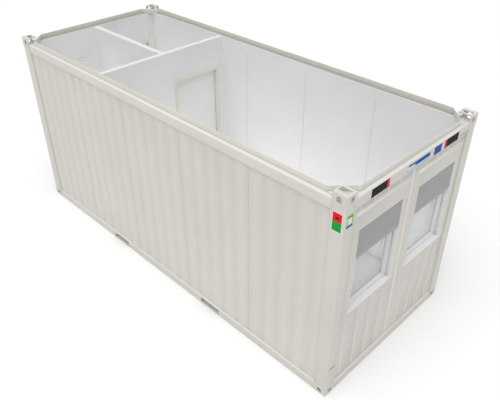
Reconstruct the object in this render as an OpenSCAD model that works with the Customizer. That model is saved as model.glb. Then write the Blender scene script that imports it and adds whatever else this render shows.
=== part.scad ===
// Portable site cabin with its roof off: steel frame, ribbed wall panels, two shuttered windows in one
// end, an entrance door in the other, and inside it a vestibule and a small room behind partitions.
// X runs along the cabin with the window end at +X, -Y is the front long side, Z is up, and the origin
// is the middle of the footprint at ground level. All sizes are in millimetres.

/* [Overall size] */
// Length of the cabin over its corner castings
cabin_l = 6055; // [5040:1:7400]
// Width of the cabin over its corner castings
cabin_w = 2435; // [2400:1:3000]
// Height of the cabin over its corner castings
cabin_h = 2800; // [2760:1:3400]

/* [Corner castings and posts] */
// Length of a corner casting and of a corner post, along the long side
post_l = 170; // [140:1:210]
// Width of a corner casting and of a corner post, across the end
post_w = 148; // [120:1:180]
// Height of a bottom corner casting
base_casting_h = 100; // [92:1:100]
// Height of a top corner casting
top_casting_h = 140; // [125:1:200]
// Wall thickness of a corner casting
casting_t = 12; // [8:0.5:16]
// Length of the slot in the top and bottom of a casting
slot_l = 126; // [90:1:130]
// Width of the slot in the top and bottom of a casting
slot_w = 65; // [40:1:70]
// Radius of the slot's corners
slot_corner_r = 6; // [3:1:15]
// Distance of the slot's and oval holes' centres from the end of the cabin
hole_inset_l = 90; // [80:1:95]
// Distance of the slot's and oval holes' centres from the long side of the cabin
hole_inset_w = 88; // [70:1:95]
// Width of the upright oval hole in each outer side of a casting
oval_w = 58; // [40:1:58]
// Height of the oval hole in a top casting
top_oval_h = 82; // [60:1:90]
// Height of the oval hole in a bottom casting
base_oval_h = 66; // [56:1:70]
// How far posts, rails and plates stand back from the outer faces of the castings
frame_setback = 3; // [2.5:0.5:6]

/* [Rails] */
// Level of the top of the bottom rails
base_rail_top = 120; // [119:1:140]
// Gap under the bottom rails
base_rail_lift = 8; // [4:1:12]
// Height of the top rails
top_rail_h = 125; // [100:1:150]
// Depth of the top rails, from outer face to roof upstand
top_rail_d = 52; // [45:1:60]
// How far the flat top of the top rails lies below the top of the castings
top_rail_drop = 85; // [70:1:100]
// Distance between the centres of the two forklift pockets
pocket_pitch = 2055; // [1400:1:2300]
// Clear width of a forklift pocket
pocket_w = 352; // [280:1:400]
// Clear height of a forklift pocket
pocket_h = 85; // [70:1:88]
// Sheet thickness of a forklift pocket
pocket_t = 4; // [3:0.5:6]

/* [Roof edge] */
// Height of the roof upstand above the top rails
upstand_h = 65; // [40:1:68]
// Sheet thickness of the roof upstand and its corner gussets
upstand_t = 3; // [2:0.5:4]
// How far the upstand reaches down behind the top rails
upstand_skirt = 55; // [30:1:60]
// How far the upstand is cut off at each corner, along each side
roof_corner_cut = 225; // [215:1:300]

/* [Walls] */
// Wall thickness, from the outer face of the castings to the inside face of the lining
wall_t = 110; // [105:1:130]
// How far the cladding lies behind the outer face of the castings
clad_recess = 27; // [18:1:30]
// Thickness of the lining boards
lining_t = 12; // [8:1:16]
// How far the top of the lining lies below the top of the castings
lining_drop = 90; // [89:1:120]
// Distance from one cladding groove to the next
groove_pitch = 232.5; // [150:0.5:300]
// Width of a cladding groove at its mouth
groove_w = 60; // [40:1:80]
// Width of a cladding groove at its floor
groove_floor_w = 24; // [20:1:38]
// Depth of a cladding groove
groove_d = 7; // [6:1:14]
// Number of grooves across one wall panel
grooves_per_panel = 5; // [4:1:8]
// Width of the open joint between two wall panels
panel_joint_w = 3; // [2:1:6]
// Depth of the open joint below the groove floor
panel_joint_d = 4; // [3:1:10]
// Width of the cover strips over the lining's joints
strip_w = 22; // [16:1:30]
// Thickness of the cover strips
strip_t = 2; // [1.5:0.5:4]
// How far below the top of the castings the cover strips end
strip_drop = 225; // [150:1:400]
// Distance of the last cover strip from the corner of the room
strip_corner_gap = 37; // [25:1:60]

/* [Floor] */
// Level of the finished floor
floor_top = 150; // [140:1:200]
// Thickness of the floor deck
deck_t = 22; // [18:1:30]
// Distance between floor cross members
joist_pitch = 560; // [400:1:700]
// Width of a floor cross member
joist_w = 50; // [40:1:60]

/* [Windows in the window end] */
// Distance of each window's centre from the cabin's centre line
window_offset = 540; // [530:1:560]
// Width of each window opening
window_w = 800; // [600:1:840]
// Height of each window opening
window_h = 1126; // [800:1:1150]
// Level of the bottom of the window openings
window_sill = 1157; // [1000:1:1200]
// Width of the raised flat surround of each window
surround_w = 980; // [900:1:1000]
// Level of the bottom of the raised surround
surround_bottom = 1120; // [900:1:1130]
// Level of the top of the raised surround
surround_top = 2500; // [2400:1:2520]
// How far the surrounds stand out from the cladding
surround_t = 15; // [10:1:18]
// Width of the slope round the outside of a surround
surround_slope_w = 24; // [15:1:26]
// Height of the rim between that slope and the flat of the surround
rim_d = 5; // [3:1:6]
// Width of the top of the rim
rim_w = 4; // [2:1:6]
// Width of the slope from the rim down to the flat
rim_slope_w = 10; // [6:1:12]
// Thickness of the white casing inside each window opening
casing_t = 6; // [4:1:8]
// Height of the sill at the bottom of the casing
sill_t = 18; // [12:1:24]
// Depth from the surround's face to the front of the window frame
reveal_d = 62; // [50:1:70]
// Width of the fixed part of the window frame
frame_w = 25; // [20:1:35]
// Width of the sash inside it
sash_w = 30; // [24:1:45]
// Depth of the window frame
frame_d = 56; // [40:1:70]
// How far the sash lies behind the front of the frame
sash_step = 4; // [2:1:8]
// Thickness of the window panes
pane_t = 12; // [6:1:24]
// How far the panes lie in front of the back of the frame
pane_back = 6; // [4:1:12]

/* [Roller shutters] */
// How far the lowered part of each shutter hangs down from the top of the opening
shutter_drop = 398; // [150:1:700]
// Height of one shutter slat
slat_h = 33; // [25:1:50]
// Thickness of the shutter curtain
slat_t = 9; // [6:1:12]
// Depth of the bead between two slats
slat_bead = 2.5; // [1:0.5:4]
// Height of the bar at the bottom of the shutter
shutter_bar_h = 26; // [20:1:40]
// Thickness of the bar at the bottom of the shutter
shutter_bar_t = 13; // [10:1:16]
// Depth from the surround's face to the shutter curtain
shutter_inset = 12; // [8:1:20]
// Height of the shutter box inside the room
shutter_box_h = 165; // [140:1:200]
// How far the shutter box stands into the room
shutter_box_d = 70; // [50:1:120]

/* [Small window in the door end] */
// Distance of the small window's centre from the cabin's centre line
small_window_offset = 575; // [560:1:600]
// Width of the small window opening
small_window_w = 650; // [450:1:660]
// Height of the small window opening
small_window_h = 720; // [500:1:900]
// Level of the bottom of the small window opening
small_window_sill = 1480; // [1200:1:1500]
// How far the raised surround and the inner trim reach past the small window opening
small_trim_w = 45; // [44:1:60]
// Thickness of the inner trim
small_trim_t = 12; // [8:1:16]

/* [Doors] */
// Distance of the door openings' near side from the cabin's centre line
door_start = 160; // [150:1:170]
// Width of the entrance and inner door openings
door_w = 825; // [700:1:830]
// Level of the top of the door openings
door_top = 2222; // [2000:1:2240]
// Width of the door frames' faces
door_frame_w = 30; // [30:1:44]
// How far the door frames stand out from the inside of the walls
door_frame_proud = 12; // [8:1:16]
// Thickness of the door leaves
leaf_t = 38; // [30:1:45]
// Gap between a leaf and its frame at the hinges, over the top and under the bottom
leaf_gap = 5; // [5:0.5:6]
// Gap between a leaf and its frame on the handle side
leaf_swing_gap = 7; // [7:0.5:9]
// How far the door stops reach into the opening
stop_w = 15; // [12:1:20]
// Depth from the castings' outer face to the outer face of the entrance door
entrance_inset = 38; // [36:1:42]
// Width of the door in the small room's partition
small_door_w = 700; // [600:1:760]
// Distance of the small room's door from the cross partition
small_door_gap = 62; // [45:1:200]
// Height of the door handles above the finished floor
handle_height = 1050; // [900:1:1150]
// Length of a handle lever
lever_l = 120; // [90:1:140]
// How far the entrance door's outer handle stands out
outer_handle_d = 34; // [28:1:35]
// How far the other handles stand out
inner_handle_d = 50; // [40:1:60]

/* [Hinges] */
// Radius of a hinge barrel
barrel_r = 8; // [6:0.5:8]
// Height of each half of a hinge barrel
barrel_h = 55; // [40:1:70]
// Radius of a hinge pin
hinge_pin_r = 4; // [3:0.5:5]
// Running clearance round a hinge pin and between the barrel halves
hinge_play = 0.5; // [0.3:0.1:0.8]
// Length of a hinge flap on the leaf or frame
flap_l = 30; // [20:1:34]
// Thickness of a hinge flap
flap_t = 3; // [2:0.5:4]
// Distance of the hinges from the top and bottom of the leaf
hinge_end = 260; // [200:1:400]

/* [Partitions] */
// Distance from the cabin's centre to the face of the cross partition in the main room
partition_x = 1145; // [900:1:1300]
// Thickness of the cross partition
cross_partition_t = 72; // [60:1:90]
// Distance of the lengthwise partition's vestibule face from the centre line
partition_y = 35; // [20:1:60]
// Thickness of the lengthwise partition
long_partition_t = 80; // [60:1:100]
// How far the tops of the partitions lie below the top of the castings
partition_drop = 100; // [95:1:400]

/* [Plates] */
// Thickness of the plates on the top rail of the window end
plate_t = 2; // [1:0.5:2]
// Distance from the plates' long edges to the edges of the rail
plate_margin = 6.5; // [1:0.5:20]
// Length of the two dark plates
dark_plate_l = 312; // [200:1:340]
// Distance of the dark plates' centres from the centre line
dark_plate_y = 674; // [600:1:800]
// Length of the small blue plate
blue_plate_l = 165; // [100:1:180]
// Distance of the blue plate's centre from the centre line
blue_plate_y = 382; // [340:1:400]

/* [Hidden] */
$fn = 48;

// Half sizes and the planes that the pieces share
half_l = cabin_l / 2;
half_w = cabin_w / 2;
frame_x = half_l - frame_setback;
frame_y = half_w - frame_setback;
post_x = half_l - post_l;
post_y = half_w - post_w;
clad_x = half_l - clad_recess;
clad_y = half_w - clad_recess;
room_x = half_l - wall_t;
room_y = half_w - wall_t;
core_x = room_x + lining_t;
core_y = room_y + lining_t;
upstand_x = frame_x - top_rail_d;
upstand_y = frame_y - top_rail_d;
rail_top = cabin_h - top_rail_drop;
rail_bottom = rail_top - top_rail_h;
core_top = rail_top - upstand_skirt;
upstand_top = rail_top + upstand_h;
pocket_top = base_rail_lift + pocket_h + 2 * pocket_t;
lining_top = cabin_h - lining_drop;
partition_top = cabin_h - partition_drop;
panel_w = groove_pitch * grooves_per_panel;
// Where the grooves of the long sides and of the ends lie, in pitches from the middle of the wall
side_phase = 0.5;
end_phase = 0;
// Overshoot of a cut past the face it opens
cut = 1;

surround_x = clad_x + surround_t;
window_frame_x = surround_x - reveal_d;
window_top = window_sill + window_h;
small_window_y = -small_window_offset;
small_window_top = small_window_sill + small_window_h;

door_end = door_start + door_w;
door_frame_start = door_start - door_frame_w;
door_frame_end = door_end + door_frame_w;
door_frame_top = door_top + door_frame_w;
leaf_start = door_start + leaf_swing_gap;
leaf_end = door_end - leaf_gap;
leaf_top = door_top - leaf_gap;
leaf_bottom = floor_top + leaf_gap;
hinge_y = door_end - leaf_gap / 2;
// The entrance door, in depths from the centre of the cabin towards the door end
entrance_x = half_l - entrance_inset;
// The inner door lies flush with the vestibule side of its frame
vestibule_face_x = partition_x + cross_partition_t;
inner_door_x = vestibule_face_x + door_frame_proud;
small_door_start = vestibule_face_x + small_door_gap;
small_door_end = small_door_start + small_door_w;
small_room_face_y = partition_y - long_partition_t;

PAINT = "#d8d6cf";
EDGE_PAINT = "#c9c6bd";
WHITE = "#e6e6e6";
CREAM = "#d3cdbd";
STEEL = "#9a9c9e";
GREY = "#8f9295";
GLASS = "#b9c8c6";
WOOD = "#b8ab93";

// A block given by its two opposite corners
module block(low, high) {
    translate(low)
        cube(high - low);
}

// Puts one copy at each corner of the cabin; children are drawn for the corner at +X +Y
module at_corners() {
    for (sx = [0, 1], sy = [0, 1])
        mirror([sx, 0, 0])
            mirror([0, sy, 0])
                children();
}

// Puts one copy on the front side and one on the back side
module on_both_sides() {
    for (sy = [0, 1])
        mirror([0, sy, 0])
            children();
}

// Puts one copy at each end
module at_both_ends() {
    for (sx = [0, 1])
        mirror([sx, 0, 0])
            children();
}

// The outline of a casting's slot, with its length along the first axis
module slot_outline() {
    square([slot_l - 2 * slot_corner_r, slot_w], center = true);
    square([slot_l, slot_w - 2 * slot_corner_r], center = true);
    for (sx = [-1, 1], sy = [-1, 1])
        translate([sx * (slot_l / 2 - slot_corner_r), sy * (slot_w / 2 - slot_corner_r)])
            circle(r = slot_corner_r);
}

// An upright oval bored along Y
module upright_oval(w, h, depth) {
    rotate([90, 0, 0])
        linear_extrude(depth, center = true) {
            square([w, h - w], center = true);
            for (s = [-1, 1])
                translate([0, s * (h - w) / 2])
                    circle(d = w);
        }
}

// ---------- corner castings and posts ----------

// One casting at the +X +Y corner, from low to high. A top casting is open towards the roof and leaves out
// the corner of the room; a bottom one is closed on its inner sides
module casting(low, high, is_top) {
    oval_h = is_top ? top_oval_h : base_oval_h;
    oval_z = (low + high) / 2;
    inner = is_top ? -cut : casting_t;
    floor_z = is_top ? oval_z - oval_h / 2 - cut : low + casting_t;
    hole_x = half_l - hole_inset_l;
    hole_y = half_w - hole_inset_w;
    difference() {
        block([post_x, post_y, low], [half_l, half_w, high]);
        if (is_top)
            block([post_x - cut, post_y - cut, low - cut], [core_x, core_y, lining_top]);
        block([post_x + inner, post_y + inner, floor_z],
            [half_l - casting_t, half_w - casting_t, high - casting_t]);
        translate([hole_x, hole_y, is_top ? high - casting_t - cut : low - cut])
            linear_extrude(casting_t + 2 * cut)
                slot_outline();
        translate([hole_x, half_w - casting_t / 2, oval_z])
            upright_oval(oval_w, oval_h, casting_t + 2 * cut);
        translate([half_l - casting_t / 2, hole_y, oval_z])
            rotate(90)
                upright_oval(oval_w, oval_h, casting_t + 2 * cut);
    }
}

module bottom_corner_castings() {
    color(PAINT)
        at_corners()
            casting(0, base_casting_h, false);
}

module top_corner_castings() {
    color(PAINT)
        at_corners()
            casting(cabin_h - top_casting_h, cabin_h, true);
}

// Angle-shaped posts whose legs end where the wall panels start
module corner_posts() {
    color(PAINT)
        at_corners()
            translate([0, 0, base_casting_h])
                linear_extrude(cabin_h - top_casting_h - base_casting_h)
                    polygon([
                        [post_x, frame_y], [frame_x, frame_y], [frame_x, post_y],
                        [core_x, post_y], [core_x, core_y], [post_x, core_y]
                    ]);
}

// ---------- rails and roof edge ----------

module side_bottom_rails() {
    color(PAINT)
        on_both_sides()
            difference() {
                block([-post_x, room_y, base_rail_lift], [post_x, frame_y, base_rail_top]);
                for (s = [-1, 1])
                    translate([s * pocket_pitch / 2, 0, 0])
                        block([-pocket_w / 2 - pocket_t, room_y - cut, base_rail_lift - cut],
                            [pocket_w / 2 + pocket_t, frame_y + cut, pocket_top]);
            }
}

module end_bottom_rails() {
    color(PAINT)
        at_both_ends()
            block([room_x, -post_y, base_rail_lift], [frame_x, post_y, base_rail_top]);
}

// The upright cheeks of the two forklift pockets
module forklift_pocket_sides() {
    color(STEEL)
        for (s = [-1, 1], side = [-1, 1])
            translate([s * pocket_pitch / 2 + side * (pocket_w + pocket_t) / 2, 0,
                    base_rail_lift + pocket_t + pocket_h / 2])
                cube([pocket_t, 2 * frame_y, pocket_h], center = true);
}

// The top and bottom sheets of the two forklift pockets
module forklift_pocket_covers() {
    color(STEEL)
        for (s = [-1, 1], level = [0, pocket_h + pocket_t])
            translate([s * pocket_pitch / 2, 0, base_rail_lift + level + pocket_t / 2])
                cube([pocket_w + 2 * pocket_t, 2 * frame_y, pocket_t], center = true);
}

module side_top_rails() {
    color(PAINT)
        on_both_sides()
            block([-post_x, upstand_y, rail_bottom], [post_x, frame_y, rail_top]);
}

module end_top_rails() {
    color(PAINT)
        at_both_ends()
            block([upstand_x, -post_y, rail_bottom], [frame_x, post_y, rail_top]);
}

// The four straight lengths of sheet that edge the roof opening
module roof_upstand() {
    side_run = upstand_x - roof_corner_cut;
    end_run = upstand_y - roof_corner_cut;
    color(EDGE_PAINT) {
        on_both_sides()
            block([-side_run, upstand_y - upstand_t, core_top], [side_run, upstand_y, upstand_top]);
        at_both_ends()
            block([upstand_x - upstand_t, -end_run, core_top], [upstand_x, end_run, upstand_top]);
    }
}

// Flat corner sheets with the slanting lengths of upstand that pass inside the castings
module roof_corner_gussets() {
    side_run = upstand_x - roof_corner_cut;
    end_run = upstand_y - roof_corner_cut;
    color(PAINT)
        at_corners() {
            translate([0, 0, rail_top - upstand_t])
                linear_extrude(upstand_t)
                    polygon([
                        [side_run, upstand_y], [post_x, upstand_y], [post_x, post_y],
                        [upstand_x, post_y], [upstand_x, end_run]
                    ]);
            translate([0, 0, rail_top - upstand_t])
                linear_extrude(upstand_h + upstand_t)
                    polygon([
                        [side_run, upstand_y], [side_run + upstand_t * sqrt(2), upstand_y],
                        [upstand_x, end_run + upstand_t * sqrt(2)], [upstand_x, end_run]
                    ]);
        }
}

// ---------- floor ----------

module floor_cross_members() {
    last = floor((room_x - joist_w) / joist_pitch);
    color(STEEL)
        for (i = [-last : last])
            if (abs(abs(i * joist_pitch) - pocket_pitch / 2) > (pocket_w + joist_w) / 2 + pocket_t)
                block([i * joist_pitch - joist_w / 2, -room_y, base_rail_lift],
                    [i * joist_pitch + joist_w / 2, room_y, pocket_top]);
}

// Insulated cassette over the cross members
module floor_insulation() {
    color(GREY)
        block([-room_x, -room_y, pocket_top], [room_x, room_y, floor_top - deck_t]);
}

module floor_deck() {
    color(WOOD)
        block([-room_x, -room_y, floor_top - deck_t], [room_x, room_y, floor_top]);
}

// ---------- outer walls ----------

// Places of the grooves between two ends, one pitch apart; the middle of the wall lies halfway between two
// grooves where phase is 0.5, and on a groove where it is 0
function groove_places(from, to, phase) = [
    let(first = (from + groove_w) / groove_pitch - phase, last = (to - groove_w) / groove_pitch - phase)
    for (i = [ceil(first) : floor(last)])
        (i + phase) * groove_pitch
];

// True where a groove also holds the joint between two panels
function is_joint(place, phase) =
    abs(place / panel_w - phase - round(place / panel_w - phase)) * panel_w < groove_pitch / 2;

// Plan of a ribbed panel from one end to the other along X, its back at y = back and its face at y = face
module ribbed_plan(from, to, back, face, phase) {
    difference() {
        translate([from, back])
            square([to - from, face - back]);
        for (place = groove_places(from, to, phase)) {
            translate([place, face])
                polygon([
                    [-groove_w / 2, 0], [-groove_w / 2, cut], [groove_w / 2, cut], [groove_w / 2, 0],
                    [groove_floor_w / 2, -groove_d], [-groove_floor_w / 2, -groove_d]
                ]);
            if (is_joint(place, phase))
                translate([place - panel_joint_w / 2, face - groove_d - panel_joint_d])
                    square([panel_joint_w, panel_joint_d + cut]);
        }
    }
}

// A ribbed panel that faces +Y and reaches up behind the top rail
module ribbed_panel(from, to, low, back, face, head_face, phase) {
    translate([0, 0, low])
        linear_extrude(rail_bottom - low)
            ribbed_plan(from, to, back, face, phase);
    block([from, back, rail_bottom - cut], [to, head_face, core_top]);
}

// Turns a panel that faces +Y so that it faces +X, keeping its height
module facing_window_end() {
    mirror([1, -1, 0])
        children();
}

// Turns a panel that faces +Y so that it faces -X
module facing_door_end() {
    mirror([1, 0, 0])
        mirror([1, -1, 0])
            children();
}

module back_wall() {
    color(PAINT)
        ribbed_panel(-post_x, post_x, base_rail_top, core_y, clad_y, upstand_y - upstand_t, side_phase);
}

module front_wall() {
    color(PAINT)
        mirror([0, 1, 0])
            ribbed_panel(-post_x, post_x, base_rail_top, core_y, clad_y, upstand_y - upstand_t, side_phase);
}

// A block facing +Y whose outline shrinks by slope from root_face to face; behind root_face it is straight
module tapered_block(middle, width, low, high, root, root_face, face, slope) {
    left = middle - width / 2;
    right = middle + width / 2;
    intersection() {
        linear_extrude(cabin_h)
            polygon([
                [left, root], [left, root_face], [left + slope, face],
                [right - slope, face], [right, root_face], [right, root]
            ]);
        translate([middle + width, 0, 0])
            rotate([90, 0, -90])
                linear_extrude(2 * width)
                    polygon([
                        [-root, low], [-root_face, low], [-face, low + slope],
                        [-face, high - slope], [-root_face, high], [-root, high]
                    ]);
    }
}

// A raised flat surround inside a sloping rim, given along X and Z and facing +Y at y = clad_x
module surround(middle, width, low, high) {
    inset = surround_slope_w + rim_w + rim_slope_w;
    rim_x = surround_x + rim_d;
    difference() {
        tapered_block(middle, width, low, high, clad_x - groove_d - panel_joint_d, clad_x, rim_x,
            surround_slope_w);
        // The flat, with the rim's inner slope carried on past the rim's top
        tapered_block(middle, width - 2 * inset, low + inset, high - inset, surround_x, surround_x,
            rim_x + rim_d, -2 * rim_slope_w);
    }
}

// A window opening cut from the front of a surround through everything behind it
module opening(middle, width, low, high) {
    block([middle - width / 2, room_x - cut, low], [middle + width / 2, surround_x + rim_d + cut, high]);
}

module window_openings() {
    for (s = [-1, 1])
        opening(s * window_offset, window_w, window_sill, window_top);
}

module small_window_opening() {
    opening(small_window_y, small_window_w, small_window_sill, small_window_top);
}

module window_end_wall() {
    color(PAINT)
        facing_window_end()
            difference() {
                union() {
                    ribbed_panel(-post_y, post_y, base_rail_top, core_x, clad_x, upstand_x - upstand_t,
                        end_phase);
                    for (s = [-1, 1])
                        surround(s * window_offset, surround_w, surround_bottom, surround_top);
                }
                window_openings();
            }
}

module door_end_wall_window_side() {
    color(PAINT)
        facing_door_end()
            difference() {
                union() {
                    ribbed_panel(-post_y, door_frame_start, base_rail_top, core_x, clad_x,
                        upstand_x - upstand_t, end_phase);
                    surround(small_window_y, small_window_w + 2 * small_trim_w,
                        small_window_sill - small_trim_w, small_window_top + small_trim_w);
                }
                small_window_opening();
            }
}

module door_end_wall_corner_side() {
    color(PAINT)
        facing_door_end() {
            block([door_frame_end, core_x, base_rail_top], [post_y, clad_x, rail_bottom]);
            block([door_frame_end, core_x, rail_bottom - cut], [post_y, upstand_x - upstand_t, core_top]);
        }
}

module door_end_wall_over_door() {
    color(PAINT)
        facing_door_end()
            ribbed_panel(door_frame_start, door_frame_end, door_frame_top, core_x, clad_x,
                upstand_x - upstand_t, end_phase);
}

// ---------- linings ----------

module back_lining() {
    color(WHITE)
        block([-core_x, room_y, base_rail_top], [core_x, core_y, lining_top]);
}

module front_lining() {
    color(WHITE)
        block([-core_x, -core_y, base_rail_top], [core_x, -room_y, lining_top]);
}

module window_end_lining() {
    color(WHITE)
        facing_window_end()
            difference() {
                block([-room_y, room_x, base_rail_top], [room_y, core_x, lining_top]);
                window_openings();
            }
}

// Three boards round the entrance door, with open joints between them
module door_end_lining() {
    board_joint = 2;
    color(WHITE)
        facing_door_end() {
            difference() {
                block([-room_y, room_x, base_rail_top], [door_frame_start, core_x, lining_top]);
                small_window_opening();
            }
            block([door_frame_start + board_joint, room_x, door_frame_top],
                [door_frame_end - board_joint, core_x, lining_top]);
            block([door_frame_end, room_x, base_rail_top], [room_y, core_x, lining_top]);
        }
}

// Upright strips over the joints of the long walls' lining
module lining_joint_strips() {
    places = [
        for (i = [-floor(room_x / panel_w + 0.5) : floor(room_x / panel_w + 0.5) - 1])
            if (abs((i + 0.5) * panel_w) < room_x - strip_corner_gap - strip_w) (i + 0.5) * panel_w
    ];
    last = room_x - strip_corner_gap;
    color(CREAM)
        on_both_sides()
            for (place = concat([-last], places, [last]))
                block([place - strip_w / 2, room_y - strip_t, floor_top],
                    [place + strip_w / 2, room_y, cabin_h - strip_drop]);
}

// ---------- windows ----------

// A rectangular ring facing +Y, w by h outside and with bars bar wide
module ring(middle, width, low, high, bar, back, face) {
    difference() {
        block([middle - width / 2, back, low], [middle + width / 2, face, high]);
        block([middle - width / 2 + bar, back - cut, low + bar],
            [middle + width / 2 - bar, face + cut, high - bar]);
    }
}

// Frame with its sash, one step back inside it
module framed_window(middle, width, low, high) {
    back = window_frame_x - frame_d;
    ring(middle, width, low, high, frame_w, back, window_frame_x);
    ring(middle, width - 2 * frame_w, low + frame_w, high - frame_w, sash_w, back,
        window_frame_x - sash_step);
}

module window_pane(middle, width, low, high) {
    bar = frame_w + sash_w;
    back = window_frame_x - frame_d + pane_back;
    block([middle - width / 2 + bar, back, low + bar],
        [middle + width / 2 - bar, back + pane_t, high - bar]);
}

// White casing in front of each window frame, with the sill as its thicker bottom
module window_casings() {
    color(WHITE)
        facing_window_end()
            for (s = [-1, 1])
                translate([s * window_offset, 0, 0])
                    difference() {
                        block([-window_w / 2, window_frame_x, window_sill],
                            [window_w / 2, surround_x, window_top]);
                        block([-window_w / 2 + casing_t, window_frame_x - cut, window_sill + sill_t],
                            [window_w / 2 - casing_t, surround_x + cut, window_top - casing_t]);
                    }
}

module window_frames() {
    color(WHITE)
        facing_window_end()
            for (s = [-1, 1])
                framed_window(s * window_offset, window_w, window_sill, window_top);
}

module small_window_frame() {
    color(WHITE)
        facing_door_end()
            framed_window(small_window_y, small_window_w, small_window_sill, small_window_top);
}

module window_panes() {
    color(GLASS) {
        facing_window_end()
            for (s = [-1, 1])
                window_pane(s * window_offset, window_w, window_sill, window_top);
        facing_door_end()
            window_pane(small_window_y, small_window_w, small_window_sill, small_window_top);
    }
}

// Trim on the lining round the small window
module small_window_trim() {
    color(WHITE)
        facing_door_end()
            difference() {
                block([small_window_y - small_window_w / 2 - small_trim_w, room_x - small_trim_t,
                        small_window_sill - small_trim_w],
                    [small_window_y + small_window_w / 2 + small_trim_w, room_x,
                        small_window_top + small_trim_w]);
                block([small_window_y - small_window_w / 2, room_x - small_trim_t - cut, small_window_sill],
                    [small_window_y + small_window_w / 2, room_x + cut, small_window_top]);
            }
}

// Side view of a shutter curtain: depth along X, height along Y, with a bead between slats
module shutter_profile(face, low, high) {
    difference() {
        union() {
            translate([face - slat_t, low])
                square([slat_t, high - low]);
            translate([face - shutter_bar_t, low])
                square([shutter_bar_t, shutter_bar_h]);
        }
        for (z = [high - slat_h : -slat_h : low + shutter_bar_h + slat_bead])
            translate([face, z])
                polygon([[cut, -slat_bead - cut], [cut, slat_bead + cut], [-slat_bead, 0]]);
    }
}

module shutter_curtains() {
    // The curtain hangs in the casing with just enough room to slide
    side_play = 0.3;
    width = window_w - 2 * casing_t - 2 * side_play;
    high = window_top - casing_t - side_play;
    color(GREY)
        for (s = [-1, 1])
            translate([0, s * window_offset + width / 2, 0])
                rotate([90, 0, 0])
                    linear_extrude(width)
                        shutter_profile(surround_x - shutter_inset, window_top - shutter_drop, high);
}

// Boxes on the lining over the windows, where the curtains roll up
module shutter_boxes() {
    color(WHITE)
        facing_window_end()
            for (s = [-1, 1])
                block([s * window_offset - window_w / 2, room_x - shutter_box_d, window_top],
                    [s * window_offset + window_w / 2, room_x, window_top + shutter_box_h]);
}

// ---------- partitions ----------

module cross_partition_wide_side() {
    color(WHITE)
        facing_door_end()
            block([-room_y, partition_x, floor_top], [door_frame_start, vestibule_face_x, partition_top]);
}

module cross_partition_corner_side() {
    color(WHITE)
        facing_door_end()
            block([door_frame_end, partition_x, floor_top], [room_y, vestibule_face_x, partition_top]);
}

module cross_partition_over_door() {
    color(WHITE)
        facing_door_end()
            block([door_frame_start, partition_x, door_frame_top],
                [door_frame_end, vestibule_face_x, partition_top]);
}

module lengthwise_partition() {
    color(WHITE)
        difference() {
            block([-room_x, small_room_face_y, floor_top], [-vestibule_face_x, partition_y, partition_top]);
            block([-small_door_end - door_frame_w, small_room_face_y - cut, floor_top - cut],
                [-small_door_start + door_frame_w, partition_y + cut, door_frame_top]);
        }
}

// ---------- doors ----------
// They are drawn facing +Y, along X from start to end, with the outer face of leaf and frame at y = face.
// The hinges are at the end and the handles near the start.

// Frame round an opening, standing on the floor, with stops behind the leaf
module door_frame(start, end, back, face, stop_gap) {
    stop_face = face - leaf_t - stop_gap;
    low = floor_top - cut;
    difference() {
        block([start - door_frame_w, back, floor_top], [end + door_frame_w, face, door_frame_top]);
        block([start, stop_face, low], [end, face + cut, door_top]);
        block([start + stop_w, back - cut, low], [end - stop_w, face, door_top - stop_w]);
    }
}

// Levels of the bottoms of the two hinges
function hinge_levels() = [leaf_bottom + hinge_end, leaf_top - hinge_end - 2 * barrel_h];

// Barrel half whose flap lies at the side: 1 on the frame, -1 on the leaf
module hinge_half(low, side, face) {
    axis_y = face + flap_t + barrel_r;
    translate([hinge_y, axis_y, low])
        cylinder(r = barrel_r, h = barrel_h);
    translate([hinge_y, 0, 0])
        mirror([side > 0 ? 0 : 1, 0, 0]) {
            block([0, face, low], [barrel_r, axis_y, low + barrel_h]);
            block([0, face, low], [leaf_gap / 2 + flap_l, face + flap_t, low + barrel_h]);
        }
}

// The frame's lower barrel halves with their pins
module frame_hinges(face) {
    for (low = hinge_levels()) {
        hinge_half(low, 1, face);
        translate([hinge_y, face + flap_t + barrel_r, low])
            cylinder(r = hinge_pin_r, h = 2 * barrel_h - flap_t);
    }
}

// The leaf's upper barrel halves, bored for the pins
module leaf_hinges(face) {
    for (low = hinge_levels())
        difference() {
            hinge_half(low + barrel_h + hinge_play, -1, face);
            translate([hinge_y, face + flap_t + barrel_r, low])
                cylinder(r = hinge_pin_r + hinge_play, h = 2 * barrel_h);
        }
}

// Leaf with its hinge halves
module hinged_leaf(face) {
    block([leaf_start, face - leaf_t, leaf_bottom], [leaf_end, face, leaf_top]);
    leaf_hinges(face);
}

// Back plate, neck and lever on a leaf's outer face at y = face; the lever points to the hinges
module lever_handle(place, face, reach) {
    plate = [36, 5, 220];
    lever_h = 18;
    lever_t = 11;
    translate([place, face, floor_top + handle_height]) {
        translate([-plate[0] / 2, 0, -plate[2] / 2])
            cube(plate);
        rotate([-90, 0, 0])
            cylinder(d = lever_h, h = reach - lever_t / 2);
        translate([-lever_h / 2, reach - lever_t, -lever_h / 2])
            cube([lever_l, lever_t, lever_h]);
    }
}

// Handles on both faces of a leaf
module handle_pair(start, face, outer_reach) {
    handle_inset = 62;
    lever_handle(start + handle_inset, face, outer_reach);
    mirror([0, 1, 0])
        lever_handle(start + handle_inset, leaf_t - face, inner_handle_d);
}

module entrance_door_frame() {
    color(CREAM)
        facing_door_end() {
            door_frame(door_start, door_end, room_x - door_frame_proud, entrance_x, leaf_gap);
            // Threshold on the bottom rail
            block([door_frame_start, room_x, base_rail_top], [door_frame_end, entrance_x, floor_top]);
            frame_hinges(entrance_x);
        }
}

module entrance_door() {
    color(WHITE)
        facing_door_end()
            hinged_leaf(entrance_x);
}

module entrance_door_handles() {
    color(STEEL)
        facing_door_end()
            handle_pair(leaf_start, entrance_x, outer_handle_d);
}

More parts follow.
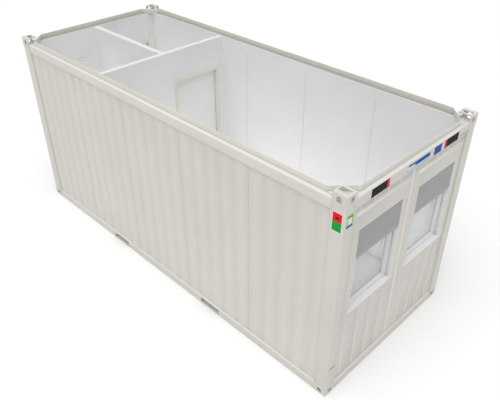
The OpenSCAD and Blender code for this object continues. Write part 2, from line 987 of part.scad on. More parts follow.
module inner_door_frame() {
    color(CREAM)
        facing_door_end() {
            door_frame(door_start, door_end, partition_x - door_frame_proud, inner_door_x, leaf_gap);
            frame_hinges(inner_door_x);
        }
}

module inner_door() {
    color(WHITE)
        facing_door_end()
            hinged_leaf(inner_door_x);
}

module inner_door_handles() {
    color(STEEL)
        facing_door_end()
            handle_pair(leaf_start, inner_door_x, inner_handle_d);
}

module small_room_door_frame() {
    color(CREAM)
        mirror([1, 0, 0])
            door_frame(small_door_start, small_door_end, small_room_face_y - door_frame_proud,
                partition_y + door_frame_proud, 0);
}

// A closed leaf that rests against its stops, with a lever on each face
module small_room_door() {
    face = partition_y + door_frame_proud;
    color(WHITE)
        mirror([1, 0, 0]) {
            block([small_door_start + leaf_gap, face - leaf_t, leaf_bottom],
                [small_door_end - leaf_gap, face, leaf_top]);
            handle_pair(small_door_start + leaf_gap, face, inner_handle_d);
        }
}

// ---------- plates ----------

// Two dark plates and a blue one on the top rail over the windows
module rail_plates() {
    plate_h = top_rail_h - 2 * plate_margin;
    level = rail_bottom + top_rail_h / 2;
    plates = [
        [-dark_plate_y, dark_plate_l, "#2b2b2d"], [dark_plate_y, dark_plate_l, "#2b2b2d"],
        [blue_plate_y, blue_plate_l, "#3b6fae"]
    ];
    for (plate = plates)
        color(plate[2])
            translate([frame_x + plate_t / 2, plate[0], level])
                cube([plate_t, plate[1], plate_h], center = true);
}

bottom_corner_castings();
side_bottom_rails();
end_bottom_rails();
forklift_pocket_sides();
forklift_pocket_covers();
floor_cross_members();
floor_insulation();
floor_deck();
corner_posts();
top_corner_castings();
side_top_rails();
end_top_rails();
roof_upstand();
roof_corner_gussets();
front_wall();
back_wall();
window_end_wall();
door_end_wall_window_side();
door_end_wall_corner_side();
door_end_wall_over_door();
front_lining();
back_lining();
window_end_lining();
door_end_lining();
lining_joint_strips();
window_casings();
window_frames();
window_panes();
shutter_curtains();
shutter_boxes();
small_window_frame();
small_window_trim();
cross_partition_wide_side();
cross_partition_corner_side();
cross_partition_over_door();
lengthwise_partition();
entrance_door_frame();
entrance_door();
entrance_door_handles();
inner_door_frame();
inner_door();
inner_door_handles();
small_room_door_frame();
small_room_door();
rail_plates();
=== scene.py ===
"""Looks of a portable site cabin with its roof off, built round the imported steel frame, walls and doors.

Everything is in metres, with X along the cabin (window end at +X), -Y the front long side and Z up.
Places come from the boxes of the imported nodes, so each dressed piece lies where its node lies.
"""

import logging
import math
from collections.abc import Iterable, Mapping, Sequence
from dataclasses import dataclass, replace
from enum import Enum
from typing import Any

import bmesh
import bpy
from mathutils import Matrix, Vector


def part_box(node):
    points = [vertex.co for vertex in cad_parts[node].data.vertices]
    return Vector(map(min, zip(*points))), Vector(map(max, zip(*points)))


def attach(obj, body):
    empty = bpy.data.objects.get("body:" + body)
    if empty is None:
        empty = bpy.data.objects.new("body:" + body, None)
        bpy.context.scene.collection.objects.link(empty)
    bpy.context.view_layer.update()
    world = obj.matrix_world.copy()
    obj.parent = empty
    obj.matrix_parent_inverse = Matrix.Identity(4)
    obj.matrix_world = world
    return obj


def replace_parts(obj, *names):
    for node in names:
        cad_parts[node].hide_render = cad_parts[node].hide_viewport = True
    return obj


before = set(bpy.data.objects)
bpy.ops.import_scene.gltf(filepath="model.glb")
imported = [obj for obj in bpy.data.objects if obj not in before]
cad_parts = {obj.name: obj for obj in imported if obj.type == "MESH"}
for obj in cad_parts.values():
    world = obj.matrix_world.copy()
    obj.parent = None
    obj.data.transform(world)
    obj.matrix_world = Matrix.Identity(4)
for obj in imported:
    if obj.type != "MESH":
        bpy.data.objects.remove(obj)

LOG = logging.getLogger("cabin")
CABIN = "cabin"
WORN = "worn"
FACING = "facing"
HIGHLIGHT_TINT = (1.01, 1.02, 1.06)
RIB_SHIFT = 40.5  # the half puts each crest on a whole pitch, and the forty keep the sum above zero
Colour = tuple[float, float, float]


# ---------------------------------------------------------------------------
# Shader and node helpers
# ---------------------------------------------------------------------------


class Sock:
    """A shader socket that Python's arithmetic works on; each expression adds its Math nodes."""

    def __init__(self, graph: "Graph", socket: bpy.types.NodeSocket) -> None:
        """Wraps one output socket of a graph."""
        self.graph = graph
        self.socket = socket

    def _math(self, operation: str, first: Any, second: Any) -> "Sock":
        """Adds one Math node on two values or sockets."""
        return self.graph.add("ShaderNodeMath", {"operation": operation}, {0: first, 1: second})

    def __add__(self, other: Any) -> "Sock":
        """self + other."""
        return self._math("ADD", self, other)

    def __radd__(self, other: Any) -> "Sock":
        """other + self."""
        return self._math("ADD", other, self)

    def __sub__(self, other: Any) -> "Sock":
        """self - other."""
        return self._math("SUBTRACT", self, other)

    def __rsub__(self, other: Any) -> "Sock":
        """other - self."""
        return self._math("SUBTRACT", other, self)

    def __mul__(self, other: Any) -> "Sock":
        """self * other."""
        return self._math("MULTIPLY", self, other)

    def __rmul__(self, other: Any) -> "Sock":
        """other * self."""
        return self._math("MULTIPLY", other, self)

    def __truediv__(self, other: Any) -> "Sock":
        """self / other."""
        return self._math("DIVIDE", self, other)

    def __mod__(self, other: Any) -> "Sock":
        """The remainder of self / other, always positive."""
        return self._math("FLOORED_MODULO", self, other)

    def __abs__(self) -> "Sock":
        """The size of self without its sign."""
        return self._math("ABSOLUTE", self, 0.0)


class Graph:
    """One material's node tree, with short ways to add what the finishes need."""

    def __init__(self, name: str) -> None:
        """Starts an empty material with its shader and output."""
        self.material = bpy.data.materials.new(name)
        self.material.use_nodes = True
        self.tree = self.material.node_tree
        self.tree.nodes.clear()
        self.output = self.tree.nodes.new("ShaderNodeOutputMaterial")
        self.shader = self.tree.nodes.new("ShaderNodeBsdfPrincipled")
        self.tree.links.new(self.shader.outputs[0], self.output.inputs["Surface"])

    def add(self, kind: str, settings: Mapping[str, Any], inputs: Mapping[Any, Any], out: Any = 0) -> Sock:
        """Adds one node of any kind.

        Args:
            kind: The node's type.
            settings: Its settings, set before its inputs.
            inputs: Values or sockets for its inputs, by name or number.
            out: The output to hand back, by name or number.

        Returns:
            The chosen output, wrapped.
        """
        node = self.tree.nodes.new(kind)
        for name, value in settings.items():
            setattr(node, name, value)
        for name, value in inputs.items():
            self.feed(node.inputs[name], value)
        return Sock(self, node.outputs[out])

    def feed(self, socket: bpy.types.NodeSocket, value: Any) -> None:
        """Links a wrapped socket to an input, or sets the input's own value."""
        if isinstance(value, Sock):
            self.tree.links.new(value.socket, socket)
        else:
            socket.default_value = value

    def place(self, scale: Colour = (1.0, 1.0, 1.0)) -> Sock:
        """Object coordinates, stretched by a factor for each axis."""
        here = self.add("ShaderNodeTexCoord", {}, {}, "Object")
        if scale == (1.0, 1.0, 1.0):
            return here
        return self.add("ShaderNodeMapping", {}, {"Vector": here, "Scale": scale})

    def axis(self, name: str) -> Sock:
        """One coordinate, X, Y or Z, in metres."""
        return self.add("ShaderNodeSeparateXYZ", {}, {0: self.place()}, name)

    def noise(self, size: float, detail: float = 3.0, stretch: Colour = (1.0, 1.0, 1.0),
            rough: float = 0.55) -> Sock:
        """Noise from 0 to 1.

        Args:
            size: The size of its features, in metres.
            detail: How many finer layers it has.
            stretch: How much it is squeezed along each axis.
            rough: The share of the finer layers.

        Returns:
            The noise value.
        """
        return self.add(
            "ShaderNodeTexNoise", {},
            {"Vector": self.place(stretch), "Scale": 1.0 / size, "Detail": detail, "Roughness": rough},
            "Fac")

    def step(self, value: Any, low: float, high: float) -> Sock:
        """A smooth step of value from 0 at low to 1 at high."""
        return self.add(
            "ShaderNodeMapRange", {"interpolation_type": "SMOOTHSTEP"},
            {"Value": value, "From Min": low, "From Max": high, "To Min": 0.0, "To Max": 1.0})

    def fall(self, value: Any, low: float, high: float) -> Sock:
        """A smooth fall of value from 1 at low to 0 at high."""
        return 1.0 - self.step(value, low, high)

    def blend(self, factor: Any, first: Any, second: Any) -> Sock:
        """Mixes two colours by a factor."""
        wide = [c if isinstance(c, Sock) else (*c, 1.0) for c in (first, second)]
        return self.add(
            "ShaderNodeMix", {"data_type": "RGBA", "clamp_factor": True},
            {0: factor, 6: wide[0], 7: wide[1]}, 2)

    def attribute(self, name: str) -> Sock:
        """A number stored on the mesh under that name."""
        return self.add("ShaderNodeAttribute", {"attribute_name": name}, {}, "Fac")

    def bump(self, height: Sock, depth: float, strength: float = 1.0) -> Sock:
        """A bump normal from a height between 0 and 1 and its depth in metres."""
        return self.add(
            "ShaderNodeBump", {}, {"Height": height, "Distance": depth, "Strength": strength}, "Normal")

    def set(self, **values: Any) -> None:
        """Feeds the shader's inputs; underscores in the names stand for spaces."""
        for name, value in values.items():
            socket = self.shader.inputs[name.replace("_", " ")]
            if isinstance(value, tuple) and len(value) == 3:
                value = (*value, 1.0)
            self.feed(socket, value)


# ---------------------------------------------------------------------------
# Finishes
# ---------------------------------------------------------------------------


class Slot(Enum):
    """The record's material slots."""

    CABIN_PAINT = "cabin_paint"
    EDGE_PAINT = "edge_paint"
    WHITE_BOARD = "white_board"
    CREAM_TRIM = "cream_trim"
    WHITE_PVC = "white_pvc"
    SHUTTER_GREY = "shutter_grey"
    PANE = "pane"
    ZINC = "zinc"
    DECK = "deck_board"
    HANDLE = "handle_metal"
    DARK_PLATE = "dark_plate"


@dataclass(frozen=True)
class Finish:
    """A finish that paints one material; the subclasses say how."""

    name: str
    slot: Slot
    colour: Colour

    def paint(self, g: Graph) -> None:
        """Fills the graph with this finish's nodes."""
        raise NotImplementedError

    def material(self) -> bpy.types.Material:
        """The finish's material, made once."""
        found = bpy.data.materials.get(self.name)
        if found is not None:
            return found
        graph = Graph(self.name)
        self.paint(graph)
        return graph.material


@dataclass(frozen=True)
class PaintedSteel(Finish):
    """Satin paint on sheet steel: faint tone changes, rain streaks, low splashes, rubbed edges, and painted
    light and shade.
    """

    streaks: float = 0.12
    splash: float = 0.10
    splash_height: float = 0.30
    roughness: float = 0.45
    peel_depth: float = 0.0004
    lap_height: float = 0.0
    lap_shade: float = 0.16
    eaves_low: float = 0.0
    eaves_high: float = 0.0
    eaves_shade: float = 0.16
    top_highlight: float = 1.10
    groove_face: float = 0.0
    groove_highlight: float = 1.23
    groove_highlight_reach: float = 0.0060
    groove_edge: float = 0.0015
    rib_pitch: float = 0.0
    rib_shade: float = 0.042

    def paint(self, g: Graph) -> None:
        """Fills the graph with this finish's nodes."""
        height = g.axis("Z")
        tone = g.noise(0.9, 3.0)
        fine = g.noise(0.035, 4.0)
        dark = tuple(c * 0.975 for c in self.colour)
        light = tuple(min(c * 1.012, 1.0) for c in self.colour)
        base = g.blend(g.step(tone, 0.32, 0.70), dark, light)
        # Rain runs down in narrow streaks that fade and return along the wall
        runs = g.noise(0.05, 3.0, (1.0, 1.0, 0.035))
        patches = g.noise(0.5, 2.0, (1.0, 1.0, 0.5))
        streak = g.step(runs, 0.54, 0.76) * g.step(patches, 0.46, 0.70) * self.streaks
        base = g.blend(streak, base, tuple(c * f for c, f in zip(self.colour, (0.80, 0.79, 0.76))))
        splash = g.fall(height, 0.0, self.splash_height) * g.step(fine, 0.42, 0.74) * self.splash
        base = g.blend(splash, base, (0.42, 0.39, 0.33))
        # Painted highlight: faces that point up are lighter and slightly tinted, standing for the stronger
        # light that falls on tops
        facing = g.add("ShaderNodeNewGeometry", {}, {}, "Normal")
        up = g.step(g.add("ShaderNodeSeparateXYZ", {}, {0: facing}, "Z"), 0.3, 0.8)
        base = g.blend(
            up, base, tuple(min(c * self.top_highlight * f, 1.0) for c, f in zip(self.colour, HIGHLIGHT_TINT)))
        if self.lap_height > 0.0:
            # Painted shade: below this height the inner face is darkened, standing for the shade where it
            # laps behind the ceiling
            lap = g.fall(height, self.lap_height - 0.002, self.lap_height + 0.002) * self.inside(g)
            base = g.blend(lap * self.lap_shade, base, tuple(c * 0.35 for c in self.colour))
        if self.eaves_high > 0.0:
            # Painted shade: a band under the top rail is darkened, standing for the shade of the rail's
            # overhang
            eaves = g.step(height, self.eaves_low, self.eaves_high)
            base = g.blend(eaves * self.eaves_shade, base, tuple(c * 0.30 for c in self.colour))
        if self.groove_face > 0.0:
            # Painted highlight: the grooves' floors are lighter, standing for the light on their lit flanks
            # and offsetting their shade
            groove_lit = g.fall(abs(g.axis("X")), self.groove_face - self.groove_highlight_reach,
                self.groove_face - self.groove_edge)
            base = g.blend(groove_lit, base, tuple(min(c * self.groove_highlight, 1.0) for c in self.colour))
        if self.rib_pitch > 0.0:
            # Painted shade: each rib is darker towards the grooves beside it and lightest along its crest,
            # standing for the shading of a curved rib
            along = ((g.axis("X") + RIB_SHIFT * self.rib_pitch) % self.rib_pitch) / self.rib_pitch
            base = g.blend(abs(along - 0.5) * 2.0 * self.rib_shade, base, (0.0, 0.0, 0.0))
        worn = g.attribute(WORN)
        chip = worn * g.step(g.noise(0.016, 5.0, rough=0.7), 0.66, 0.69) * g.step(tone, 0.50, 0.62)
        base = g.blend(worn * 0.14, base, tuple(min(c * 1.12, 1.0) for c in self.colour))
        base = g.blend(chip * 0.5, base, (0.34, 0.31, 0.28))
        peel = g.noise(0.004, 2.0)
        swell = g.noise(0.35, 2.0)
        g.set(
            Base_Color=base,
            Roughness=self.roughness + (fine - 0.5) * 0.14 + splash * 0.6 + streak * 0.4,
            Normal=g.bump(peel * 0.2 + swell, self.peel_depth, 0.4),
            Specular_IOR_Level=0.35,
        )

    @staticmethod
    def inside(g: Graph) -> Sock:
        """1 on the inner faces of the roof edge, 0 on its outer ones."""
        low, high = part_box("roof_upstand")
        return g.fall(abs(g.axis("X")), high.x - 0.002, high.x - 0.001) * g.fall(
            abs(g.axis("Y")), high.y - 0.002, high.y - 0.001)


@dataclass(frozen=True)
class Board(Finish):
    """Smooth matt board with a faint fleck, soft scuffs low down and a slightly rubbed edge."""

    fleck: float = 0.03
    roughness: float = 0.55

    def paint(self, g: Graph) -> None:
        """Fills the graph with this finish's nodes."""
        height = g.axis("Z")
        soft = g.noise(0.7, 2.0)
        fine = g.noise(0.006, 3.0)
        scuff = g.step(g.noise(0.09, 5.0, (1.0, 1.0, 3.0), 0.7), 0.60, 0.72) * g.fall(height, 0.25, 1.1)
        low = tuple(c * 0.965 for c in self.colour)
        base = g.blend(g.step(soft, 0.3, 0.7), low, self.colour)
        base = g.blend(g.step(fine, 0.45, 0.7) * self.fleck, base, tuple(c * 0.7 for c in self.colour))
        base = g.blend(scuff * 0.16, base, (0.36, 0.35, 0.33))
        base = g.blend(g.attribute(WORN) * 0.12, base, tuple(c * 0.8 for c in self.colour))
        g.set(
            Base_Color=base,
            Roughness=self.roughness + (fine - 0.5) * 0.12 - scuff * 0.15,
            Normal=g.bump(fine + soft * 0.3, 0.00012, 0.6),
            Specular_IOR_Level=0.35,
        )


@dataclass(frozen=True)
class WindowPlastic(Finish):
    """Hard white plastic with a low sheen, faint greying on its rounded edges and fine rubbing."""

    roughness: float = 0.28

    def paint(self, g: Graph) -> None:
        """Fills the graph with this finish's nodes."""
        cloud = g.noise(0.25, 3.0)
        fine = g.noise(0.003, 2.0)
        rub = g.noise(0.02, 4.0, (1.0, 6.0, 6.0))
        base = g.blend(g.step(cloud, 0.35, 0.7), tuple(c * 0.98 for c in self.colour), self.colour)
        base = g.blend(g.step(rub, 0.66, 0.8) * 0.03, base, (0.45, 0.44, 0.41))
        base = g.blend(g.attribute(WORN) * 0.02, base, (0.55, 0.55, 0.53))
        g.set(
            Base_Color=base,
            Roughness=self.roughness + (cloud - 0.5) * 0.06 + (rub - 0.5) * 0.04,
            Normal=g.bump(fine, 0.00001, 0.3),
            Coat_Weight=0.15,
        )


@dataclass(frozen=True)
class ShutterSlat(Finish):
    """Grey roll-formed slats with a lengthwise grain, a little dust in patches, rubbed bellies and painted
    shade at the joints.
    """

    pitch: float = 0.033
    top: float = 2.2767
    joint_shade: float = 0.70

    def paint(self, g: Graph) -> None:
        """Fills the graph with this finish's nodes."""
        along = ((self.top - g.axis("Z")) % self.pitch) / self.pitch
        # Painted shade: each slat darkens towards its joints, standing for the shadow in the gap between
        # neighbours
        joint = g.step(abs(along - 0.5), 0.30, 0.47)
        grain = g.noise(0.0035, 3.0, (1.0, 0.06, 1.0))
        cloud = g.noise(0.2, 3.0)
        base = g.blend(g.step(cloud, 0.3, 0.7), tuple(c * 0.95 for c in self.colour), self.colour)
        base = g.blend(joint * self.joint_shade, base, tuple(c * 0.45 for c in self.colour))
        base = g.blend(g.step(grain, 0.55, 0.75) * 0.10, base,
            tuple(min(c * 1.4, 1.0) for c in self.colour))
        g.set(
            Base_Color=base,
            Roughness=0.50 + (grain - 0.5) * 0.16 + joint * 0.15,
            Normal=g.bump(grain, 0.00008, 0.5),
            Specular_IOR_Level=0.35,
        )


@dataclass(frozen=True)
class PaneGlass(Finish):
    """Clear insulating glass under a thin film of dust, with faint runs."""

    alpha: float = 0.36

    def paint(self, g: Graph) -> None:
        """Fills the graph with this finish's nodes."""
        dust = g.noise(0.12, 5.0, (1.0, 1.0, 0.6), 0.65)
        runs = g.noise(0.02, 3.0, (1.0, 1.0, 0.05))
        film = g.step(dust, 0.40, 0.8) * 0.6 + g.step(runs, 0.55, 0.8) * 0.4
        base = g.blend(film, self.colour, tuple(min(c * 1.04, 1.0) for c in self.colour))
        g.set(
            Base_Color=base,
            Roughness=0.04 + film * 0.06,
            Alpha=self.alpha + film * 0.03,
            Normal=g.bump(g.noise(0.6, 1.0), 0.0006, 0.3),
            Specular_IOR_Level=0.8,
        )


@dataclass(frozen=True)
class Galvanised(Finish):
    """Zinc-coated steel with a spangle of flat crystals, dull patches and a little white bloom."""

    spangle: float = 0.016

    def paint(self, g: Graph) -> None:
        """Fills the graph with this finish's nodes."""
        cells = g.add(
            "ShaderNodeTexVoronoi", {"feature": "F1"},
            {"Vector": g.place(), "Scale": 1.0 / self.spangle, "Randomness": 1.0}, "Color")
        shade = g.add("ShaderNodeSeparateColor", {}, {0: cells}, 0)
        bloom = g.step(g.noise(0.08, 5.0, rough=0.7), 0.54, 0.72)
        base = g.blend(shade, tuple(c * 0.80 for c in self.colour),
            tuple(min(c * 1.15, 1.0) for c in self.colour))
        base = g.blend(bloom * 0.45, base, (0.60, 0.61, 0.61))
        g.set(
            Base_Color=base,
            Metallic=0.85 - bloom * 0.5,
            Roughness=0.38 + shade * 0.14 + bloom * 0.25,
            Normal=g.bump(shade, 0.00005, 0.4),
        )


@dataclass(frozen=True)
class SheetFlooring(Finish):
    """Pale grey sheet flooring: a mottled fleck, welded seams along the cabin and a trodden sheen."""

    seam_pitch: float = 2.0

    def paint(self, g: Graph) -> None:
        """Fills the graph with this finish's nodes."""
        cloud = g.noise(0.12, 2.0)
        fleck = g.step(g.noise(0.004, 2.0), 0.60, 0.66)
        pale = g.step(g.noise(0.006, 2.0, (1.0, 1.3, 1.0)), 0.62, 0.68)
        tread = g.noise(0.6, 3.0)
        seam = g.fall(abs((g.axis("X") + 1.0) % self.seam_pitch - self.seam_pitch / 2), 0.0015, 0.0035)
        base = g.blend(g.step(cloud, 0.3, 0.7), tuple(c * 0.93 for c in self.colour), self.colour)
        base = g.blend(fleck * 0.05, base, tuple(c * 0.55 for c in self.colour))
        base = g.blend(pale * 0.04, base, tuple(min(c * 1.4, 1.0) for c in self.colour))
        base = g.blend(seam * 0.6, base, tuple(c * 0.6 for c in self.colour))
        g.set(
            Base_Color=base,
            Roughness=0.42 + (tread - 0.5) * 0.25,
            Normal=g.bump(cloud * 0.4 - seam, 0.0003, 0.4),
        )


@dataclass(frozen=True)
class SatinMetal(Finish):
    """Brushed or anodised metal with a fine lengthwise grain and finger marks."""

    grain: Colour = (1.0, 1.0, 0.08)
    roughness: float = 0.30

    def paint(self, g: Graph) -> None:
        """Fills the graph with this finish's nodes."""
        brush = g.noise(0.0012, 3.0, self.grain)
        marks = g.noise(0.03, 4.0)
        base = g.blend(brush, tuple(c * 0.86 for c in self.colour),
            tuple(min(c * 1.1, 1.0) for c in self.colour))
        g.set(
            Base_Color=base,
            Metallic=1.0,
            Roughness=self.roughness + (brush - 0.5) * 0.16 + g.step(marks, 0.5, 0.7) * 0.12,
            Normal=g.bump(brush, 0.00002, 0.5),
        )


@dataclass(frozen=True)
class Gasket(Finish):
    """Rubber or sealant: matt, slightly chalky, with a fine skin."""

    roughness: float = 0.75

    def paint(self, g: Graph) -> None:
        """Fills the graph with this finish's nodes."""
        chalk = g.noise(0.02, 4.0)
        skin = g.noise(0.0015, 2.0)
        base = g.blend(g.step(chalk, 0.45, 0.75) * 0.5, self.colour,
            tuple(min(c * 1.6 + 0.02, 1.0) for c in self.colour))
        g.set(
            Base_Color=base,
            Roughness=self.roughness + (skin - 0.5) * 0.15,
            Normal=g.bump(skin, 0.00005, 0.5),
        )


@dataclass(frozen=True)
class Film(Finish):
    """A printed film or plate face in plain colour, sun-faded in patches and scratched."""

    fade: float = 0.25

    def paint(self, g: Graph) -> None:
        """Fills the graph with this finish's nodes."""
        cloud = g.noise(0.06, 4.0)
        scratch = g.step(g.noise(0.006, 4.0, (1.0, 0.15, 1.0)), 0.68, 0.74)
        base = g.blend(
            g.step(cloud, 0.4, 0.75) * self.fade, self.colour,
            tuple(min(c * 1.2 + 0.01, 1.0) for c in self.colour))
        base = g.blend(scratch * 0.12, base, (0.6, 0.6, 0.58))
        g.set(
            Base_Color=base,
            Roughness=0.55 + (cloud - 0.5) * 0.2 + scratch * 0.2,
            Normal=g.bump(g.noise(0.012, 2.0) - scratch * 0.5, 0.00004, 0.5),
            Specular_IOR_Level=0.08,
        )


CABIN_PAINT = PaintedSteel("cabin_paint_on_steel", Slot.CABIN_PAINT, (0.640, 0.622, 0.574))
# Painted highlight: the side rails wear a lighter copy of the cabin paint, standing for more light falling on
# them
LIGHTENED_RAIL_PAINT = PaintedSteel("lightened_cabin_paint_on_side_rails", Slot.CABIN_PAINT, (0.675, 0.657, 0.608))
# The long walls' colour is a little lighter than the end walls', making up for the painted rib shade that
# darkens them on average
WALL_PAINT = PaintedSteel(
    "cabin_paint_on_cladding", Slot.CABIN_PAINT, (0.656, 0.638, 0.589), streaks=0.05, rib_pitch=0.2325)
# The end walls have painted shade under the top rail, a strong painted highlight on upward faces and painted
# highlight in the grooves
END_WALL_PAINT = PaintedSteel(
    "cabin_paint_on_end_cladding", Slot.CABIN_PAINT, (0.640, 0.622, 0.574), streaks=0.07, eaves_low=2.497,
    eaves_high=2.515, top_highlight=1.50, groove_face=3.0005)
UNDER_PAINT = PaintedSteel("cabin_paint_under_floor", Slot.ZINC, (0.60, 0.585, 0.545), streaks=0.0,
    splash=0.35)
# The roof edge has painted shade on its inner face below the lap height
UPSTAND_PAINT = PaintedSteel(
    "roof_edge_paint", Slot.EDGE_PAINT, (0.735, 0.712, 0.655), streaks=0.1, splash=0.0, roughness=0.5,
    lap_height=2.738)
LINING = Board("white_lining_board", Slot.WHITE_BOARD, (0.80, 0.80, 0.80))
LEAF = Board("white_door_face", Slot.WHITE_BOARD, (0.80, 0.80, 0.795), fleck=0.015, roughness=0.4)
TRIM = Board("cream_trim_paint", Slot.CREAM_TRIM, (0.76, 0.73, 0.665), fleck=0.01, roughness=0.4)
PLASTIC = WindowPlastic("white_window_plastic", Slot.WHITE_PVC, (0.80, 0.80, 0.80))
SLAT = ShutterSlat("grey_shutter_slats", Slot.SHUTTER_GREY, (0.395, 0.395, 0.40))
SLAT_BAR = ShutterSlat("grey_shutter_end_bar", Slot.SHUTTER_GREY, (0.43, 0.43, 0.435), joint_shade=0.0)
GLASS = PaneGlass("window_glass", Slot.PANE, (0.70, 0.74, 0.73))
ZINC = Galvanised("zinc_on_steel", Slot.ZINC, (0.50, 0.51, 0.52))
FLOORING = SheetFlooring("grey_sheet_flooring", Slot.DECK, (0.46, 0.46, 0.44))
HANDLE = SatinMetal("satin_handle_metal", Slot.HANDLE, (0.62, 0.62, 0.61))
SEAL = Gasket("dark_rubber_seal", Slot.DARK_PLATE, (0.035, 0.035, 0.037))
PANE_SEAL = Gasket("grey_pane_seal", Slot.SHUTTER_GREY, (0.58, 0.58, 0.58))
SKIRTING = Gasket("grey_skirting", Slot.SHUTTER_GREY, (0.36, 0.365, 0.36), roughness=0.5)
JOINT_SEALANT = Gasket("pale_joint_sealant", Slot.CABIN_PAINT, (0.60, 0.583, 0.54))
KEYHOLE_SHADE = Gasket("keyhole_painted_shade", Slot.DARK_PLATE, (0.012, 0.012, 0.012))
BLACK_FILM = Film("black_plate_face", Slot.DARK_PLATE, (0.008, 0.008, 0.009), fade=0.05)
RED_FILM = Film("red_film", Slot.DARK_PLATE, (0.80, 0.012, 0.018), fade=0.1)
GREEN_FILM = Film("green_film", Slot.DARK_PLATE, (0.012, 0.34, 0.05), fade=0.1)
LIME_FILM = Film("lime_film", Slot.DARK_PLATE, (0.30, 0.52, 0.05))
BLUE_FILM = Film("blue_film", Slot.DARK_PLATE, (0.016, 0.092, 0.34), fade=0.1)
PALE_BLUE_FILM = Film("pale_blue_film", Slot.DARK_PLATE, (0.30, 0.52, 0.74))
WHITE_FILM = Film("white_film", Slot.DARK_PLATE, (0.76, 0.76, 0.74))
DARK_RED_FILM = Film("dark_red_film", Slot.DARK_PLATE, (0.16, 0.012, 0.016))
PALE_FILM = Film("pale_backing_film", Slot.CABIN_PAINT, (0.66, 0.655, 0.63), fade=0.1)
GREY_FILM = Film("grey_strip_film", Slot.CABIN_PAINT, (0.42, 0.42, 0.40), fade=0.5)


# ---------------------------------------------------------------------------
# Geometry Nodes recipes
# ---------------------------------------------------------------------------


class Recipe:
    """A Geometry Nodes tree with named inputs, used on a throwaway object and turned into a plain mesh."""

    def __init__(self, name: str, inputs: Mapping[str, str]) -> None:
        """Starts the tree.

        Args:
            name: The tree's name.
            inputs: The named inputs and their socket types.
        """
        self.group = bpy.data.node_groups.new(name, "GeometryNodeTree")
        face = self.group.interface
        face.new_socket("Geometry", in_out="INPUT", socket_type="NodeSocketGeometry")
        self.keys = {
            n: face.new_socket(n, in_out="INPUT", socket_type=t).identifier for n, t in inputs.items()}
        face.new_socket("Geometry", in_out="OUTPUT", socket_type="NodeSocketGeometry")
        self.inlet = self.group.nodes.new("NodeGroupInput")
        self.outlet = self.group.nodes.new("NodeGroupOutput")

    def socket(self, name: str) -> bpy.types.NodeSocket:
        """One of the tree's own inputs."""
        return self.inlet.outputs[name]

    def add(
        self, kind: str, settings: Mapping[str, Any], inputs: Mapping[Any, Any], out: Any = 0
    ) -> bpy.types.NodeSocket:
        """Adds one node.

        Args:
            kind: The node's type.
            settings: Its settings, set first.
            inputs: Values or sockets for its inputs, by name or number.
            out: The output to hand back.

        Returns:
            The chosen output socket.
        """
        node = self.group.nodes.new(kind)
        for name, value in settings.items():
            setattr(node, name, value)
        for name, value in inputs.items():
            if isinstance(value, bpy.types.NodeSocket):
                self.group.links.new(value, node.inputs[name])
            else:
                node.inputs[name].default_value = value
        return node.outputs[out]

    def close(self, geometry: bpy.types.NodeSocket) -> None:
        """Ends the tree with real geometry that carries its material."""
        real = self.add("GeometryNodeRealizeInstances", {}, {"Geometry": geometry})
        dressed = self.add("GeometryNodeSetMaterial", {},
            {"Geometry": real, "Material": self.socket("Material")})
        self.group.links.new(dressed, self.outlet.inputs[0])

    def make(self, seed: bpy.types.Mesh, values: Mapping[str, Any], finish: Finish) -> bpy.types.Mesh:
        """Runs the tree on a mesh.

        Args:
            seed: The mesh that the tree starts from.
            values: The named inputs' values.
            finish: The finish that the result wears.

        Returns:
            A plain mesh.
        """
        carrier = bpy.data.objects.new("carrier", seed)
        bpy.context.scene.collection.objects.link(carrier)
        modifier = carrier.modifiers.new("recipe", "NODES")
        modifier.node_group = self.group
        for name, value in values.items():
            modifier[self.keys[name]] = value
        modifier[self.keys["Material"]] = finish.material()
        bpy.context.view_layer.update()
        graph = bpy.context.evaluated_depsgraph_get()
        mesh = bpy.data.meshes.new_from_object(carrier.evaluated_get(graph))
        carrier.modifiers.clear()
        bpy.data.objects.remove(carrier)
        return mesh


def make_stud_recipe() -> Recipe:
    """Domed heads on points, each turned to the direction stored on its point."""
    r = Recipe("stud_rows", {
        "Radius": "NodeSocketFloat", "Height": "NodeSocketFloat", "Material": "NodeSocketMaterial"})
    base = r.add("GeometryNodeMeshCone", {"fill_type": "NGON"}, {
        "Vertices": 12, "Radius Top": 0.62, "Radius Bottom": 1.0, "Depth": 1.0}, "Mesh")
    scale = r.add("ShaderNodeCombineXYZ", {}, {
        "X": r.socket("Radius"), "Y": r.socket("Radius"), "Z": r.socket("Height")})
    head = r.add("GeometryNodeTransform", {}, {"Geometry": base, "Scale": scale})
    facing = r.add("GeometryNodeInputNamedAttribute", {"data_type": "FLOAT_VECTOR"}, {"Name": FACING})
    turn = r.add("FunctionNodeAlignRotationToVector", {"axis": "Z"}, {"Vector": facing})
    points = r.add("GeometryNodeMeshToPoints", {}, {"Mesh": r.inlet.outputs["Geometry"]})
    r.close(r.add("GeometryNodeInstanceOnPoints", {},
        {"Points": points, "Instance": head, "Rotation": turn}))
    return r


